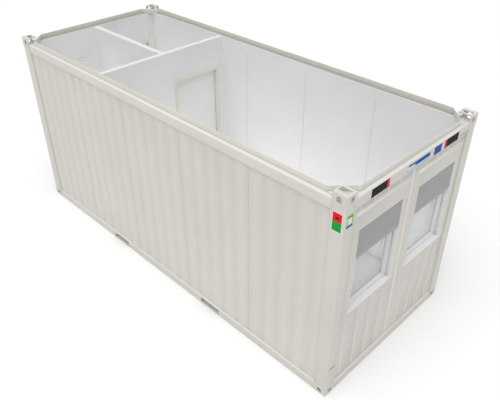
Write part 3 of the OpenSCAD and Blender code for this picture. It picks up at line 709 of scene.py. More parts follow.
def make_bead_recipe() -> Recipe:
    """A bead of weld, sealant or rubber along the seed's edges, rippled by a fixed noise."""
    r = Recipe("beads", {
        "Radius": "NodeSocketFloat", "Step": "NodeSocketFloat", "Ripple": "NodeSocketFloat",
        "Material": "NodeSocketMaterial"})
    line = r.add("GeometryNodeMeshToCurve", {}, {"Mesh": r.inlet.outputs["Geometry"]})
    # Straight runs stay exact: each run is cut into equal steps only for the ripple
    line = r.add("GeometryNodeSubdivideCurve", {}, {"Curve": line, "Cuts": r.add(
        "ShaderNodeMath", {"operation": "FLOOR"}, {0: r.add(
            "ShaderNodeMath", {"operation": "DIVIDE"}, {0: 1.0, 1: r.socket("Step")})})})
    noise = r.add("ShaderNodeTexNoise", {}, {"Scale": 160.0, "Detail": 1.0}, "Fac")
    swing = r.add("ShaderNodeMath", {"operation": "MULTIPLY_ADD"},
        {0: noise, 1: r.socket("Ripple"), 2: 1.0})
    eased = r.add("ShaderNodeMath", {"operation": "SUBTRACT"}, {0: swing, 1: r.socket("Ripple")})
    size = r.add("ShaderNodeMath", {"operation": "MULTIPLY"}, {0: eased, 1: r.socket("Radius")})
    ring = r.add("GeometryNodeCurvePrimitiveCircle", {"mode": "RADIUS"},
        {"Resolution": 8, "Radius": 1.0}, "Curve")
    r.close(r.add("GeometryNodeCurveToMesh", {}, {
        "Curve": line, "Profile Curve": ring, "Scale": size, "Fill Caps": True}))
    return r


def make_slat_recipe() -> Recipe:
    """Bellied shutter slats along Y, hung one under the other from the start point."""
    r = Recipe("shutter_slats", {
        "Count": "NodeSocketInt", "Pitch": "NodeSocketFloat", "Width": "NodeSocketFloat",
        "Belly": "NodeSocketFloat", "Lap": "NodeSocketFloat", "Start": "NodeSocketVector",
        "Material": "NodeSocketMaterial"})
    drop = r.add("ShaderNodeCombineXYZ", {}, {
        "Z": r.add("ShaderNodeMath", {"operation": "MULTIPLY"}, {0: r.socket("Pitch"), 1: -1.0})})
    line = r.add("GeometryNodeMeshLine", {"mode": "OFFSET"}, {
        "Count": r.socket("Count"), "Start Location": r.socket("Start"), "Offset": drop})
    # One slat's section is a flat oval a little taller than the pitch, so neighbours hook into each other
    ring = r.add("GeometryNodeCurvePrimitiveCircle", {"mode": "RADIUS"},
        {"Resolution": 24, "Radius": 1.0}, "Curve")
    half = r.add("ShaderNodeMath", {"operation": "MULTIPLY_ADD"},
        {0: r.socket("Pitch"), 1: 0.5, 2: r.socket("Lap")})
    section = r.add("GeometryNodeTransform", {}, {
        "Geometry": ring,
        "Scale": r.add("ShaderNodeCombineXYZ", {}, {"X": r.socket("Belly"), "Y": half, "Z": 1.0})})
    reach = r.add("ShaderNodeMath", {"operation": "MULTIPLY"}, {0: r.socket("Width"), 1: 0.5})
    back = r.add("ShaderNodeMath", {"operation": "MULTIPLY"}, {0: reach, 1: -1.0})
    run = r.add("GeometryNodeCurvePrimitiveLine", {"mode": "POINTS"}, {
        "Start": r.add("ShaderNodeCombineXYZ", {}, {"Y": back}),
        "End": r.add("ShaderNodeCombineXYZ", {}, {"Y": reach})})
    slat = r.add("GeometryNodeCurveToMesh", {}, {"Curve": run, "Profile Curve": section, "Fill Caps": True})
    r.close(r.add("GeometryNodeInstanceOnPoints", {}, {"Points": line, "Instance": slat}))
    return r


# ---------------------------------------------------------------------------
# Mesh helpers
# ---------------------------------------------------------------------------


def shown(mesh: bpy.types.Mesh, name: str, finish: Finish, body: str) -> bpy.types.Object:
    """Makes a piece of a mesh, at the origin, riding on a body.

    Args:
        mesh: The finished mesh, already in place.
        name: The piece's name.
        finish: What it wears.
        body: The body that it rides on.

    Returns:
        The piece's object.
    """
    mesh.name = name
    mesh.materials.clear()
    mesh.materials.append(finish.material())
    piece = bpy.data.objects.new(name, mesh)
    bpy.context.scene.collection.objects.link(piece)
    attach(piece, body)
    LOG.info("%s: %d faces on %s", name, len(mesh.polygons), body)
    return piece


def smooth_by_angle(mesh: bpy.types.Mesh, degrees: float = 32.0) -> None:
    """Shades a mesh smoothly but for its sharp edges."""
    mesh.shade_smooth()
    mesh.set_sharp_from_angle(angle=math.radians(degrees))


@dataclass
class Softened:
    """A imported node's shape with its doubles merged and its sharp edges rounded, standing for that node."""

    node: str
    finish: Finish
    radius: float
    segments: int = 2
    body: str = CABIN

    def build(self) -> bpy.types.Object:
        """Builds the piece and hides the node it stands for."""
        bm = bmesh.new()
        bm.from_mesh(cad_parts[self.node].data)
        bmesh.ops.remove_doubles(bm, verts=bm.verts, dist=2e-5)
        bmesh.ops.dissolve_limit(
            bm, angle_limit=math.radians(0.6), verts=bm.verts, edges=bm.edges, delimit={"NORMAL"})
        bm.faces.layers.float.new(WORN)
        layer = bm.faces.layers.float[WORN]
        sharp = [
            e for e in bm.edges
            if len(e.link_faces) == 2 and e.is_convex and e.calc_face_angle(0.0) > math.radians(28.0)
        ]
        made = bmesh.ops.bevel(
            bm, geom=sharp, offset=self.radius, offset_type="OFFSET", segments=self.segments, profile=0.5,
            affect="EDGES", clamp_overlap=True)
        for face in made["faces"]:
            face[layer] = 1.0
        mesh = bpy.data.meshes.new(self.node + "_finished")
        bm.to_mesh(mesh)
        bm.free()
        smooth_by_angle(mesh, 25.0)
        piece = shown(mesh, self.node + "_finished", self.finish, self.body)
        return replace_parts(piece, self.node)


class Bench:
    """Collects rounded blocks, rods and sheets into one mesh."""

    def __init__(self) -> None:
        """Starts with nothing on the bench."""
        self.bm = bmesh.new()
        self.worn = self.bm.faces.layers.float.new(WORN)

    def _bevel(self, edges: list[bmesh.types.BMEdge], radius: float, segments: int) -> None:
        """Rounds edges and marks what they become as worn."""
        made = bmesh.ops.bevel(
            self.bm, geom=edges, offset=radius, segments=segments, profile=0.5, affect="EDGES",
            clamp_overlap=True)
        for face in made["faces"]:
            face[self.worn] = 1.0

    def block(self, low: Sequence[float], high: Sequence[float], radius: float = 0.001,
            segments: int = 2) -> "Bench":
        """Adds a block between two corners, with rounded edges."""
        low_v, high_v = Vector(low), Vector(high)
        made = bmesh.ops.create_cube(self.bm, size=1.0)
        bmesh.ops.transform(
            self.bm, verts=made["verts"],
            matrix=Matrix.Translation((low_v + high_v) / 2) @ Matrix.Diagonal((*(high_v - low_v), 1.0)))
        if radius > 0.0:
            self._bevel(list({e for v in made["verts"] for e in v.link_edges}), radius, segments)
        return self

    def rod(
        self, start: Sequence[float], end: Sequence[float], radius: float, sides: int = 24,
        bevel: float = 0.0008,
        end_radius: float | None = None,
    ) -> "Bench":
        """Adds a round rod between two points, with rounded rims and an optional taper."""
        a, b = Vector(start), Vector(end)
        made = bmesh.ops.create_cone(
            self.bm, cap_ends=True, segments=sides, radius1=radius,
            radius2=radius if end_radius is None else end_radius, depth=(b - a).length)
        turn = (b - a).to_track_quat("Z", "Y").to_matrix().to_4x4()
        bmesh.ops.transform(self.bm, verts=made["verts"], matrix=Matrix.Translation((a + b) / 2) @ turn)
        rims = [
            e for e in {e for v in made["verts"] for e in v.link_edges}
            if len(e.link_faces) == 2 and any(len(f.verts) > 4 for f in e.link_faces)
        ]
        self._bevel(rims, bevel, 2)
        return self

    def done(self, name: str, finish: Finish, body: str = CABIN) -> bpy.types.Object:
        """Turns the bench into one piece."""
        mesh = bpy.data.meshes.new(name)
        self.bm.to_mesh(mesh)
        self.bm.free()
        smooth_by_angle(mesh)
        return shown(mesh, name, finish, body)


def lines_mesh(paths: Iterable[Sequence[Sequence[float]]], closed: bool = False) -> bpy.types.Mesh:
    """A mesh of bare edges along paths of points."""
    points: list[Sequence[float]] = []
    edges: list[tuple[int, int]] = []
    for path in paths:
        first = len(points)
        points.extend(path)
        last = len(points) - 1
        edges.extend((i, i + 1) for i in range(first, last))
        if closed:
            edges.append((last, first))
    mesh = bpy.data.meshes.new("lines")
    mesh.from_pydata(points, edges, [])
    return mesh


def points_mesh(points: Sequence[Sequence[float]], facing: Sequence[Sequence[float]]) -> bpy.types.Mesh:
    """A mesh of bare points, each with the direction that it faces."""
    mesh = bpy.data.meshes.new("points")
    mesh.from_pydata(points, [], [])
    store = mesh.attributes.new(FACING, "FLOAT_VECTOR", "POINT")
    store.data.foreach_set("vector", [c for f in facing for c in f])
    return mesh


def solids(node: str) -> list[tuple[Vector, Vector]]:
    """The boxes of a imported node's separate solids, in order along X, then Y, then Z."""
    bm = bmesh.new()
    bm.from_mesh(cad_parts[node].data)
    bmesh.ops.remove_doubles(bm, verts=bm.verts, dist=2e-5)
    left = set(bm.verts)
    boxes = []
    while left:
        reached = [left.pop()]
        for vert in reached:
            for edge in vert.link_edges:
                other = edge.other_vert(vert)
                if other in left:
                    left.remove(other)
                    reached.append(other)
        sides = [[v.co[k] for v in reached] for k in range(3)]
        boxes.append((Vector([min(side) for side in sides]), Vector([max(side) for side in sides])))
    bm.free()
    return sorted(boxes, key=lambda box: tuple(box[0]))


def spread(low: float, high: float, pitch: float) -> list[float]:
    """Even places from low to high, no further apart than the pitch."""
    count = max(1, math.ceil((high - low) / pitch))
    return [low + (high - low) * i / count for i in range(count + 1)]


def rectangle(plane: str, at: float, low: Sequence[float],
        high: Sequence[float]) -> list[tuple[float, float, float]]:
    """The four corners of a rectangle in a plane across X or Y.

    Args:
        plane: "X" for a rectangle along Y and Z, "Y" for one along X and Z.
        at: Where the plane lies.
        low: The lower corner's two coordinates.
        high: The upper corner's two coordinates.

    Returns:
        Its corners in order.
    """
    (a, c), (b, d) = low, high
    flat = [(a, c), (b, c), (b, d), (a, d)]
    return [(at, u, z) if plane == "X" else (u, at, z) for u, z in flat]


# ---------------------------------------------------------------------------
# Sub-assemblies
# ---------------------------------------------------------------------------


@dataclass
class Tools:
    """The three recipes that the sub-assemblies share."""

    studs: Recipe
    beads: Recipe
    slats: Recipe

    def stud_rows(
        self, name: str, places: Sequence[tuple[Sequence[float], Sequence[float]]], radius: float,
        height: float,
        finish: Finish, body: str = CABIN,
    ) -> None:
        """Sets domed heads on their places.

        Args:
            name: The piece's name.
            places: Each head's place and the direction that it faces.
            radius: The heads' radius.
            height: How far they stand out.
            finish: What they wear.
            body: The body that they ride on.
        """
        seed = points_mesh([place for place, _ in places], [facing for _, facing in places])
        mesh = self.studs.make(seed, {"Radius": radius, "Height": height}, finish)
        smooth_by_angle(mesh, 40.0)
        shown(mesh, name, finish, body)

    def bead_runs(
        self, name: str, paths: Iterable[Sequence[Sequence[float]]], radius: float, finish: Finish,
        body: str = CABIN, ripple: float = 0.0, closed: bool = False,
    ) -> None:
        """Runs beads along paths.

        Args:
            name: The piece's name.
            paths: The paths' points.
            radius: The beads' radius.
            finish: What they wear.
            body: The body that they ride on.
            ripple: How much their size wavers.
            closed: Whether each path returns to its start.
        """
        step = 0.02 if ripple > 0.0 else 1.0
        mesh = self.beads.make(lines_mesh(paths, closed),
            {"Radius": radius, "Step": step, "Ripple": ripple}, finish)
        smooth_by_angle(mesh, 60.0)
        shown(mesh, name, finish, body)


@dataclass
class SteelFrame:
    """Corner castings, posts, rails and the roof edge, with the welds that join them."""

    tools: Tools
    weld_radius: float = 0.0026
    casting_edge: float = 0.004
    rail_edge: float = 0.005
    top_rail_edge: float = 0.010

    def build(self) -> None:
        """Builds every piece of the frame."""
        Softened("bottom_corner_castings", CABIN_PAINT, self.casting_edge).build()
        Softened("top_corner_castings", CABIN_PAINT, self.casting_edge).build()
        Softened("corner_posts", CABIN_PAINT, self.rail_edge, 3).build()
        for node in ("side_bottom_rails", "end_bottom_rails"):
            Softened(node, CABIN_PAINT, self.rail_edge, 3).build()
        Softened("side_top_rails", LIGHTENED_RAIL_PAINT, self.top_rail_edge, 4).build()
        Softened("end_top_rails", CABIN_PAINT, self.rail_edge, 3).build()
        Softened("roof_upstand", UPSTAND_PAINT, 0.001).build()
        Softened("roof_corner_gussets", UPSTAND_PAINT, 0.001).build()
        self.build_welds()

    def build_welds(self) -> None:
        """Welds round the castings' joints and down the ends of the rails."""
        _, post_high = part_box("corner_posts")
        top_low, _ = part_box("top_corner_castings")
        _, base_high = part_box("bottom_corner_castings")
        side_low, side_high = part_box("side_top_rails")
        _, end_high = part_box("end_top_rails")
        _, base_rail_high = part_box("side_bottom_rails")
        out_x, out_y = post_high.x, post_high.y
        in_x, in_y = side_high.x, end_high.y
        paths = []
        for sx in (-1, 1):
            for sy in (-1, 1):
                for z in (base_high.z + 0.001, top_low.z - 0.001):
                    paths.append([(sx * in_x, sy * out_y, z), (sx * out_x, sy * out_y, z),
                        (sx * out_x, sy * in_y, z)])
                for low, high in ((side_low.z, top_low.z), (base_high.z, base_rail_high.z)):
                    paths.append([(sx * in_x, sy * out_y, low), (sx * in_x, sy * out_y, high)])
                    paths.append([(sx * out_x, sy * in_y, low), (sx * out_x, sy * in_y, high)])
        self.tools.bead_runs("frame_welds", paths, self.weld_radius, CABIN_PAINT, ripple=0.35)


@dataclass
class FloorBuildUp:
    """The floor from its cross members up to the sheet flooring, with the forklift pockets."""

    tools: Tools
    weld_radius: float = 0.0022

    def build(self) -> None:
        """Builds every piece of the floor."""
        for node in ("forklift_pocket_sides", "forklift_pocket_covers"):
            Softened(node, UNDER_PAINT, 0.001).build()
        Softened("floor_cross_members", ZINC, 0.002).build()
        Softened("floor_insulation", ZINC, 0.002).build()
        Softened("floor_deck", FLOORING, 0.0005).build()
        self.build_welds()

    def build_welds(self) -> None:
        """Welds where the cross members meet the side rails, seen from below."""
        paths = []
        for low, high in solids("floor_cross_members"):
            for x in (low.x, high.x):
                for y in (low.y, high.y):
                    paths.append([(x, y, low.z), (x, y, high.z)])
        self.tools.bead_runs("cross_member_welds", paths, self.weld_radius, UNDER_PAINT, ripple=0.3)


@dataclass
class Cladding:
    """The outer walls' ribbed sheets, with blind rivets along their feet and sealed edges."""

    tools: Tools
    rib_pitch: float = 0.2325
    rivet_radius: float = 0.0042
    rivet_height: float = 0.0016
    rivet_rise: float = 0.022
    seal_radius: float = 0.0035
    edge: float = 0.003

    def build(self) -> None:
        """Builds every outer wall."""
        for node in ("front_wall", "back_wall"):
            Softened(node, WALL_PAINT, self.edge).build()
        for node in (
            "window_end_wall", "door_end_wall_window_side", "door_end_wall_corner_side",
            "door_end_wall_over_door",
        ):
            Softened(node, END_WALL_PAINT, self.edge).build()
        self.build_rivets()
        self.build_seals()

    def build_rivets(self) -> None:
        """One rivet at the foot of each rib, a little above the bottom rails."""
        low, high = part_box("back_wall")
        end_low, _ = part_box("door_end_wall_over_door")
        door_low, door_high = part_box("entrance_door_frame")
        foot = low.z + self.rivet_rise
        places = []
        count = int(high.x / self.rib_pitch)
        for i in range(-count, count + 1):
            for side in (-1.0, 1.0):
                places.append(((i * self.rib_pitch, side * high.y, foot), (0.0, side, 0.0)))
        ends = [(i + 0.5) * self.rib_pitch for i in range(-4, 4)]
        for y in ends:
            places.append(((-end_low.x, y, foot), (1.0, 0.0, 0.0)))
            if not door_low.y - 0.02 < y < door_high.y + 0.02:
                places.append(((end_low.x, y, foot), (-1.0, 0.0, 0.0)))
        self.tools.stud_rows("cladding_rivets", places, self.rivet_radius, self.rivet_height, CABIN_PAINT)

    def build_seals(self) -> None:
        """Sealant where the sheets meet the posts and the bottom rails."""
        low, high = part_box("back_wall")
        end_low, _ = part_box("door_end_wall_over_door")
        _, window_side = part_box("window_end_wall")
        rail_low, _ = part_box("side_top_rails")
        reach = window_side.y
        face = -end_low.x
        paths = []
        for side in (-1.0, 1.0):
            for end in (-1.0, 1.0):
                paths.append([(end * high.x, side * high.y, low.z),
                    (end * high.x, side * high.y, rail_low.z)])
                paths.append([(end * face, side * reach, low.z), (end * face, side * reach, rail_low.z)])
            paths.append([(low.x, side * high.y, low.z), (high.x, side * high.y, low.z)])
        paths.append([(face, -reach, low.z), (face, reach, low.z)])
        self.tools.bead_runs("cladding_sealant", paths, self.seal_radius, JOINT_SEALANT)


@dataclass
class Linings:
    """The white boards inside: wall linings, their cover strips and the partitions."""

    tools: Tools
    screw_radius: float = 0.0038
    screw_height: float = 0.0010
    screw_pitch: float = 0.40
    caulk_radius: float = 0.003
    skirting_height: float = 0.055
    skirting_depth: float = 0.008

    def build(self) -> None:
        """Builds every lining and partition."""
        for node in (
            "front_lining", "back_lining", "window_end_lining", "door_end_lining",
            "cross_partition_wide_side", "cross_partition_corner_side", "cross_partition_over_door",
            "lengthwise_partition",
        ):
            Softened(node, LINING, 0.0012).build()
        Softened("lining_joint_strips", TRIM, 0.0008).build()
        self.build_screws()
        self.build_caulk()
        self.build_skirting()

    def build_skirting(self) -> None:
        """A grey skirting along the foot of every wall inside, broken at the doors."""
        partition_low, partition_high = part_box("cross_partition_wide_side")
        divider_low, divider_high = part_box("lengthwise_partition")
        deck_low, deck_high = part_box("floor_deck")
        door_low, door_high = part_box("inner_door_frame")
        side_low, side_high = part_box("small_room_door_frame")
        t = self.skirting_depth
        floor, top = deck_high.z, deck_high.z + self.skirting_height
        bench = Bench()
        # Runs along X, each as its start, end, wall face and the side that it lies on
        along_x = (
            (partition_high.x, deck_high.x, deck_low.y, 1.0),
            (partition_high.x, deck_high.x, deck_high.y, -1.0),
            (deck_low.x, partition_low.x, deck_low.y, 1.0),
            (deck_low.x, partition_low.x, deck_high.y, -1.0),
            (deck_low.x, side_low.x, divider_low.y, -1.0),
            (side_high.x, partition_low.x, divider_low.y, -1.0),
            (deck_low.x, side_low.x, divider_high.y, 1.0),
            (side_high.x, partition_low.x, divider_high.y, 1.0),
        )
        for x0, x1, face, into in along_x:
            ys = sorted((face, face + into * t))
            bench.block((x0, ys[0], floor), (x1, ys[1], top), 0.002, 2)
        along_y = (
            (deck_low.y, deck_high.y, deck_high.x, -1.0), (deck_low.y, door_low.y, partition_high.x, 1.0),
            (door_high.y, deck_high.y, partition_high.x, 1.0),
            (door_high.y, deck_high.y, partition_low.x, -1.0),
            (divider_high.y, door_low.y, partition_low.x, -1.0),
            (deck_low.y, divider_low.y, partition_low.x, -1.0),
            (deck_low.y, divider_low.y, deck_low.x, 1.0), (divider_high.y, door_low.y, deck_low.x, 1.0),
            (door_high.y, deck_high.y, deck_low.x, 1.0),
        )
        for y0, y1, face, into in along_y:
            xs = sorted((face, face + into * t))
            bench.block((xs[0], y0 + t, floor), (xs[1], y1 - t, top), 0.002, 2)
        bench.done("room_skirting", SKIRTING)

    def build_screws(self) -> None:
        """Screws down the cover strips."""
        places = []
        for low, high in solids("lining_joint_strips"):
            x = (low.x + high.x) / 2
            side = 1.0 if low.y > 0.0 else -1.0
            y = low.y if side > 0.0 else high.y
            for z in spread(low.z + 0.06, high.z - 0.06, self.screw_pitch):
                places.append(((x, y, z), (0.0, -side, 0.0)))
        self.tools.stud_rows("cover_strip_screws", places, self.screw_radius, self.screw_height, TRIM)

    def build_caulk(self) -> None:
        """A fine white joint in the upright corners of each room."""
        wall_low, wall_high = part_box("cross_partition_wide_side")
        long_low, long_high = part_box("lengthwise_partition")
        _, deck_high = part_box("floor_deck")
        _, room_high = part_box("cross_partition_corner_side")
        top = wall_high.z - 0.001
        room_x = deck_high.x
        corners = [
            (wall_high.x, wall_low.y), (wall_high.x, room_high.y), (wall_low.x, wall_low.y),
            (wall_low.x, room_high.y), (wall_low.x, long_low.y), (wall_low.x, long_high.y),
            (long_low.x, long_low.y), (long_low.x, long_high.y), (long_low.x, wall_low.y),
            (long_low.x, room_high.y),
            (room_x, wall_low.y), (room_x, room_high.y),
        ]
        paths = [[(x, y, deck_high.z), (x, y, top)] for x, y in corners]
        self.tools.bead_runs("lining_corner_caulk", paths, self.caulk_radius, LINING)


@dataclass
class EndWindows:
    """The two windows of the window end and the small one in the door end."""

    tools: Tools
    slat_pitch: float = 0.033
    slat_lap: float = 0.0008
    slat_belly: float = 0.0050
    bar_height: float = 0.026
    seal_radius: float = 0.0032
    mitre_radius: float = 0.0007
    frame_width: float = 0.025
    handle_reach: float = 0.042

    def build(self) -> None:
        """Builds frames, panes, seals, handles and shutters."""
        for node in ("window_casings", "window_frames", "shutter_boxes", "small_window_frame",
            "small_window_trim"):
            Softened(node, PLASTIC, 0.0025, 3).build()
        Softened("window_panes", GLASS, 0.0004, 1).build()
        self.build_seals()
        self.build_mitres()
        self.build_handles()
        self.build_shutters()

    def build_seals(self) -> None:
        """Dark rubber round both faces of every pane."""
        paths = []
        for low, high in solids("window_panes"):
            for x in (low.x, high.x):
                paths.append(rectangle("X", x, (low.y, low.z), (high.y, high.z)))
        self.tools.bead_runs("window_seals", paths, self.seal_radius, PANE_SEAL, closed=True)

    def build_mitres(self) -> None:
        """The fine welded seams across the frames' corners."""
        w = self.frame_width
        paths = []
        for low, high in solids("window_frames") + solids("small_window_frame"):
            for x in (low.x, high.x):
                for y, into_y in ((low.y, w), (high.y, -w)):
                    for z, into_z in ((low.z, w), (high.z, -w)):
                        paths.append([(x, y, z), (x, y + into_y, z + into_z)])
        self.tools.bead_runs("window_frame_seams", paths, self.mitre_radius, JOINT_SEALANT)

    def build_handles(self) -> None:
        """A white turning handle and two hinge caps inside each window."""
        for number, (low, high) in enumerate(solids("window_frames") + solids("small_window_frame")):
            inward = -1.0 if low.x > 0.0 else 1.0
            x = low.x if inward < 0.0 else high.x
            y = high.y - 0.042
            z = (low.z + high.z) / 2
            bench = Bench()
            xs = sorted((x, x + inward * 0.011))
            bench.block((xs[0], y - 0.015, z - 0.033), (xs[1], y + 0.015, z + 0.033), 0.004, 3)
            bench.rod((x + inward * 0.008, y, z), (x + inward * self.handle_reach, y, z), 0.0085)
            grip = sorted((x + inward * (self.handle_reach - 0.013), x + inward * self.handle_reach))
            bench.block((grip[0], y - 0.010, z - 0.112), (grip[1], y + 0.010, z + 0.011), 0.0055, 4)
            for hinge_z in (low.z + 0.075, high.z - 0.075):
                centre = (x + inward * 0.008, low.y + 0.012)
                bench.rod((*centre, hinge_z - 0.032), (*centre, hinge_z + 0.032), 0.0085)
            bench.done(f"window_handle_{number + 1}", PLASTIC)

    def build_shutters(self) -> None:
        """Slats, an end bar and guide rails in place of each curtain."""
        curtains = []
        for number, (low, high) in enumerate(solids("shutter_curtains")):
            drop = high.z - low.z - self.bar_height
            count = math.ceil(drop / self.slat_pitch - 0.2)
            pitch = drop / count
            x = (low.x + high.x) / 2 + 0.001
            finish = replace(SLAT, pitch=pitch, top=high.z)
            mesh = self.tools.slats.make(points_mesh([(0.0, 0.0, 0.0)], [(0.0, 0.0, 1.0)]), {
                "Count": count, "Pitch": pitch, "Width": high.y - low.y, "Belly": self.slat_belly,
                "Lap": self.slat_lap, "Start": (x, (low.y + high.y) / 2, high.z - pitch / 2)}, finish)
            smooth_by_angle(mesh, 45.0)
            slats = shown(mesh, f"shutter_slats_{number + 1}", finish, CABIN)
            bar = Bench()
            bar.block((low.x, low.y, low.z), (high.x, high.y, low.z + self.bar_height * 0.52), 0.003, 3)
            bar.block((low.x + 0.003, low.y, low.z + self.bar_height * 0.48),
                      (high.x - 0.001, high.y, low.z + self.bar_height), 0.003, 3)
            curtains += [slats, bar.done(f"shutter_end_bar_{number + 1}", SLAT_BAR)]
            self.build_guides(number, low, high)
        for piece in curtains:
            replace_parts(piece, "shutter_curtains")

    def build_guides(self, number: int, low: Vector, high: Vector) -> None:
        """Guide rails down both sides of the reveal, where the slats' ends slide."""
        frames = solids("window_frames")[number]
        guide = Bench()
        foot = frames[0].z + 0.018
        for y, into in ((low.y, 1.0), (high.y, -1.0)):
            ys = sorted((y, y + into * 0.016))
            guide.block((low.x - 0.010, ys[0], foot), (low.x - 0.004, ys[1], high.z), 0.0012, 2)
        guide.done(f"shutter_guides_{number + 1}", PLASTIC)


@dataclass
class Doors:
    """Both hinged doors, the small room's door and their frames, on their own bodies."""

    tools: Tools
    frame_width: float = 0.030
    stop_width: float = 0.015
    leaf_thickness: float = 0.038
    plate_width: float = 0.036
    plate_thickness: float = 0.005
    screw_radius: float = 0.0036
    screw_height: float = 0.0012
    lock_drop: float = 0.070
    hinge_rise: float = 0.260
    barrel_height: float = 0.055
    flap_thickness: float = 0.003

    def build(self) -> None:
        """Builds leaves, frames, handles, locks, seals and screws."""
        for node in ("entrance_door_frame", "inner_door_frame", "small_room_door_frame"):
            Softened(node, TRIM, 0.0015).build()
        Softened("small_room_door", LEAF, 0.0015).build()
        for name in ("entrance_door", "inner_door"):
            Softened(name, LEAF, 0.0015, body=name).build()
            Softened(name + "_handles", HANDLE, 0.003, 3, body=name).build()
            self.build_lock(name)
            self.build_seal(name)
            self.build_hinge_screws(name)

    def build_lock(self, name: str) -> None:
        """Lock barrels with keyholes and plate screws, on both faces of a leaf; each keyhole is a black
        block, painted shade for the hole.
        """
        leaf = self.leaf_faces(name)
        cylinders = Bench()
        holes = Bench()
        screws = []
        for low, high in solids(name + "_handles"):
            y = low.y + self.plate_width / 2
            middle = (low.z + high.z) / 2
            out = -1.0 if (low.x + high.x) / 2 < (leaf[0] + leaf[1]) / 2 else 1.0
            face = (leaf[0] if out < 0.0 else leaf[1]) + out * self.plate_thickness
            z = middle - self.lock_drop
            cylinders.rod((face - out * 0.004, y, z), (face + out * 0.0035, y, z), 0.0088)
            # The keyhole is a thin black block on the barrel's end: painted shade standing for the dark
            # inside of the hole
            holes.block(
                (min(face, face + out * 0.0042), y - 0.0009, z - 0.005),
                (max(face, face + out * 0.0042), y + 0.0009, z + 0.005), 0.0003, 1)
            for screw_z in (low.z + 0.014, high.z - 0.014):
                screws.append(((face, y, screw_z), (out, 0.0, 0.0)))
        cylinders.done(name + "_lock_barrels", HANDLE, name)
        holes.done(name + "_keyholes", KEYHOLE_SHADE, name)
        self.tools.stud_rows(name + "_plate_screws", screws, self.screw_radius, self.screw_height,
            HANDLE, name)

    def leaf_faces(self, name: str) -> tuple[float, float]:
        """The leaf's two faces along X; the hinge barrels lie outside the one towards -X."""
        low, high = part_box(name)
        return high.x - self.leaf_thickness, high.x

    def build_seal(self, name: str) -> None:
        """A rubber seal on the frame's stop, all round but for the foot."""
        frame_low, frame_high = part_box(name + "_frame")
        _, inner_face = self.leaf_faces(name)
        inset = self.frame_width + self.stop_width * 0.75
        left, right = frame_low.y + inset, frame_high.y - inset
        foot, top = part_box(name)[0].z, frame_high.z - inset
        x = inner_face + 0.0028
        self.tools.bead_runs(
            name + "_seal", [[(x, left, foot), (x, left, top), (x, right, top), (x, right, foot)]],
            0.0021, SEAL)

    def build_hinge_screws(self, name: str) -> None:
        """Screws in the hinges' flaps, the leaf's riding with the leaf."""
        low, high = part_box(name)
        outer, _ = self.leaf_faces(name)
        hinge_y = high.y - 0.008
        face = outer - self.flap_thickness
        on_leaf, on_frame = [], []
        for foot in (low.z + self.hinge_rise, high.z - self.hinge_rise - 2 * self.barrel_height):
            for share in (0.27, 0.73):
                lift = share * self.barrel_height
                on_frame.append(((face, hinge_y + 0.023, foot + lift), (-1.0, 0.0, 0.0)))
                on_leaf.append(((face, hinge_y - 0.023, foot + self.barrel_height + lift),
                    (-1.0, 0.0, 0.0)))
        self.tools.stud_rows(name + "_leaf_hinge_screws", on_leaf, self.screw_radius, self.screw_height,
            HANDLE, name)
        self.tools.stud_rows(name + "_frame_hinge_screws", on_frame, self.screw_radius,
            self.screw_height, HANDLE)


class Side(Enum):
    """The face that a sticker lies on: across X at the window end, or across Y on the front long side."""

    WINDOW_END = "X"
    FRONT = "Y"


@dataclass(frozen=True)
class Sticker:
    """One plain patch of film, given by its two corners along the wall and up."""

    name: str
    finish: Finish
    side: Side
    low: tuple[float, float]
    high: tuple[float, float]
    layer: int = 0
    slant: float = 0.0


